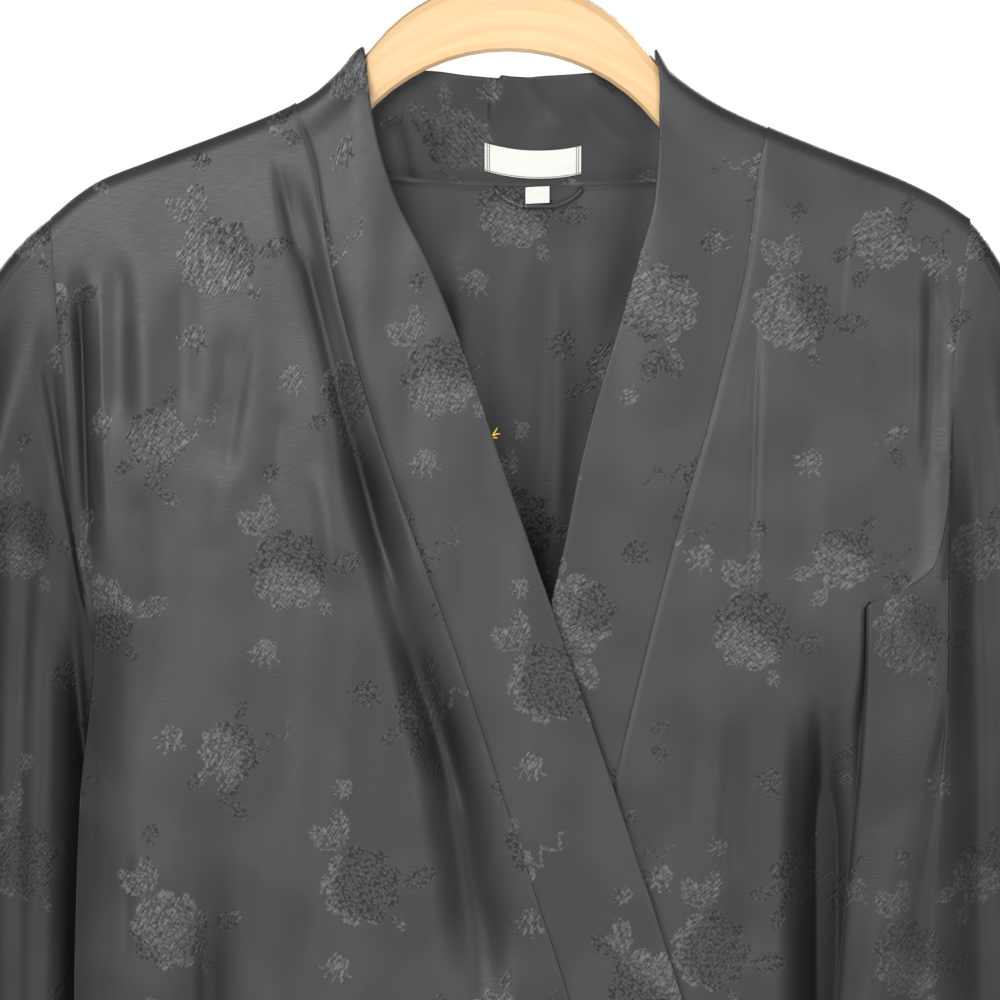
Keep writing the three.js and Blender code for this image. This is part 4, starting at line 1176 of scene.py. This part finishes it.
def thread_material():
    """Yellow embroidery thread, twisted."""
    graph, material, shader = new_material("yellow_thread")
    u, v, _ = graph.split(graph.add("ShaderNodeUVMap", uv_map="cut").outputs[0])
    twist = graph.plus(graph.times(v, 1300.0), graph.times(u, 900.0))
    ply = graph.math("PINGPONG", twist, 0.5)
    # Painted shade and highlight: the twist's grooves are darker and its ridges lighter
    tone = graph.blend(graph.times(ply, 2.0), (0.62, 0.36, 0.02), (0.95, 0.66, 0.05))
    graph.feed(shader.inputs["Base Color"], tone)
    graph.feed(shader.inputs["Roughness"], graph.scaled(ply, 0.2, 0.36))
    graph.feed(shader.inputs["Normal"], bumped(graph, ply, 0.0002))
    return material


satin = {side: satin_material(side) for side in ("left", "right")}
label_cloth = woven_material("label_tape", True)
tag_cloth = woven_material("tag_tape", False)
materials = {
    "front_left": satin["left"], "front_right": satin["right"], "back": satin["left"],
    "sleeve_left": satin["left"], "sleeve_right": satin["right"], "collar_band": satin["left"],
    "neck_loop": satin["right"], "label": label_cloth, "size_tag": tag_cloth,
}
for node, piece in pieces.items():
    piece.data.materials.append(materials[node])
yellow = thread_material()
for strand in thread:
    strand.data.materials.append(yellow)
for node, material in (("hanger_bar", wood_material()), ("hanger_hook", steel_material())):
    bpy.data.objects[node].data.materials.clear()
    bpy.data.objects[node].data.materials.append(material)

# Camera, floor and light
PHOTO_PIXEL = 0.53
PHOTO_MIDDLE = (-6.36, -351.7)
PHOTO_PLANE = -10
LENS = 180
camera = bpy.data.objects.new("camera", bpy.data.cameras.new("camera"))
bpy.context.collection.objects.link(camera)
camera.data.lens = LENS
distance = 1000 * PHOTO_PIXEL * LENS / camera.data.sensor_width
camera.location = (PHOTO_MIDDLE[0] * MM, (PHOTO_PLANE - distance) * MM, PHOTO_MIDDLE[1] * MM)
camera.rotation_euler = (math.radians(90), 0, 0)
bpy.context.scene.camera = camera

WORLD_LIGHT = 0.13
WORLD_SEEN = 1.05
FLOOR_Z = -1.62
FLOOR_GLOW = 0.65
world = bpy.data.worlds.new("studio")
bpy.context.scene.world = world
world.use_nodes = True
backdrop = world.node_tree.nodes["Background"]
backdrop.inputs["Color"].default_value = (1, 1, 1, 1)
path = world.node_tree.nodes.new("ShaderNodeLightPath")
strength = world.node_tree.nodes.new("ShaderNodeMapRange")
strength.inputs["To Min"].default_value = WORLD_LIGHT
strength.inputs["To Max"].default_value = WORLD_SEEN
world.node_tree.links.new(path.outputs["Is Camera Ray"], strength.inputs["Value"])
world.node_tree.links.new(strength.outputs["Result"], backdrop.inputs["Strength"])
bpy.context.scene.view_settings.view_transform = "Standard"

bpy.ops.mesh.primitive_plane_add(size=14, location=(0, 0, FLOOR_Z))
floor = bpy.context.object
floor.name = "floor"
graph, pale, shader = new_material("pale_floor")
shader.inputs["Base Color"].default_value = (0.85, 0.85, 0.84, 1)
shader.inputs["Roughness"].default_value = 0.9
shader.inputs["Emission Color"].default_value = (1, 1, 0.99, 1)
shader.inputs["Emission Strength"].default_value = FLOOR_GLOW
floor.data.materials.append(pale)


def soft_light(name, location, target, size, power):
    light = bpy.data.objects.new(name, bpy.data.lights.new(name, "AREA"))
    bpy.context.collection.objects.link(light)
    light.data.size = size
    light.data.energy = power
    light.location = location
    aim = np.array(target) - np.array(location)
    light.rotation_euler = (math.atan2(math.hypot(aim[0], aim[1]), -aim[2]), 0, math.atan2(-aim[0], aim[1]))
    return light


soft_light("key", (-0.9, -2.35, 0.65), (0, 0, -0.5), 1.3, 51)
soft_light("back", (1.1, 2.3, 0.6), (0, 0, -0.6), 1.5, 40)
soft_light("back_fill", (-1.4, 2.2, 0.2), (0, 0, -0.7), 1.5, 22)
soft_light("fill", (1.3, -2.2, 0.1), (0, 0, -0.6), 1.3, 20)
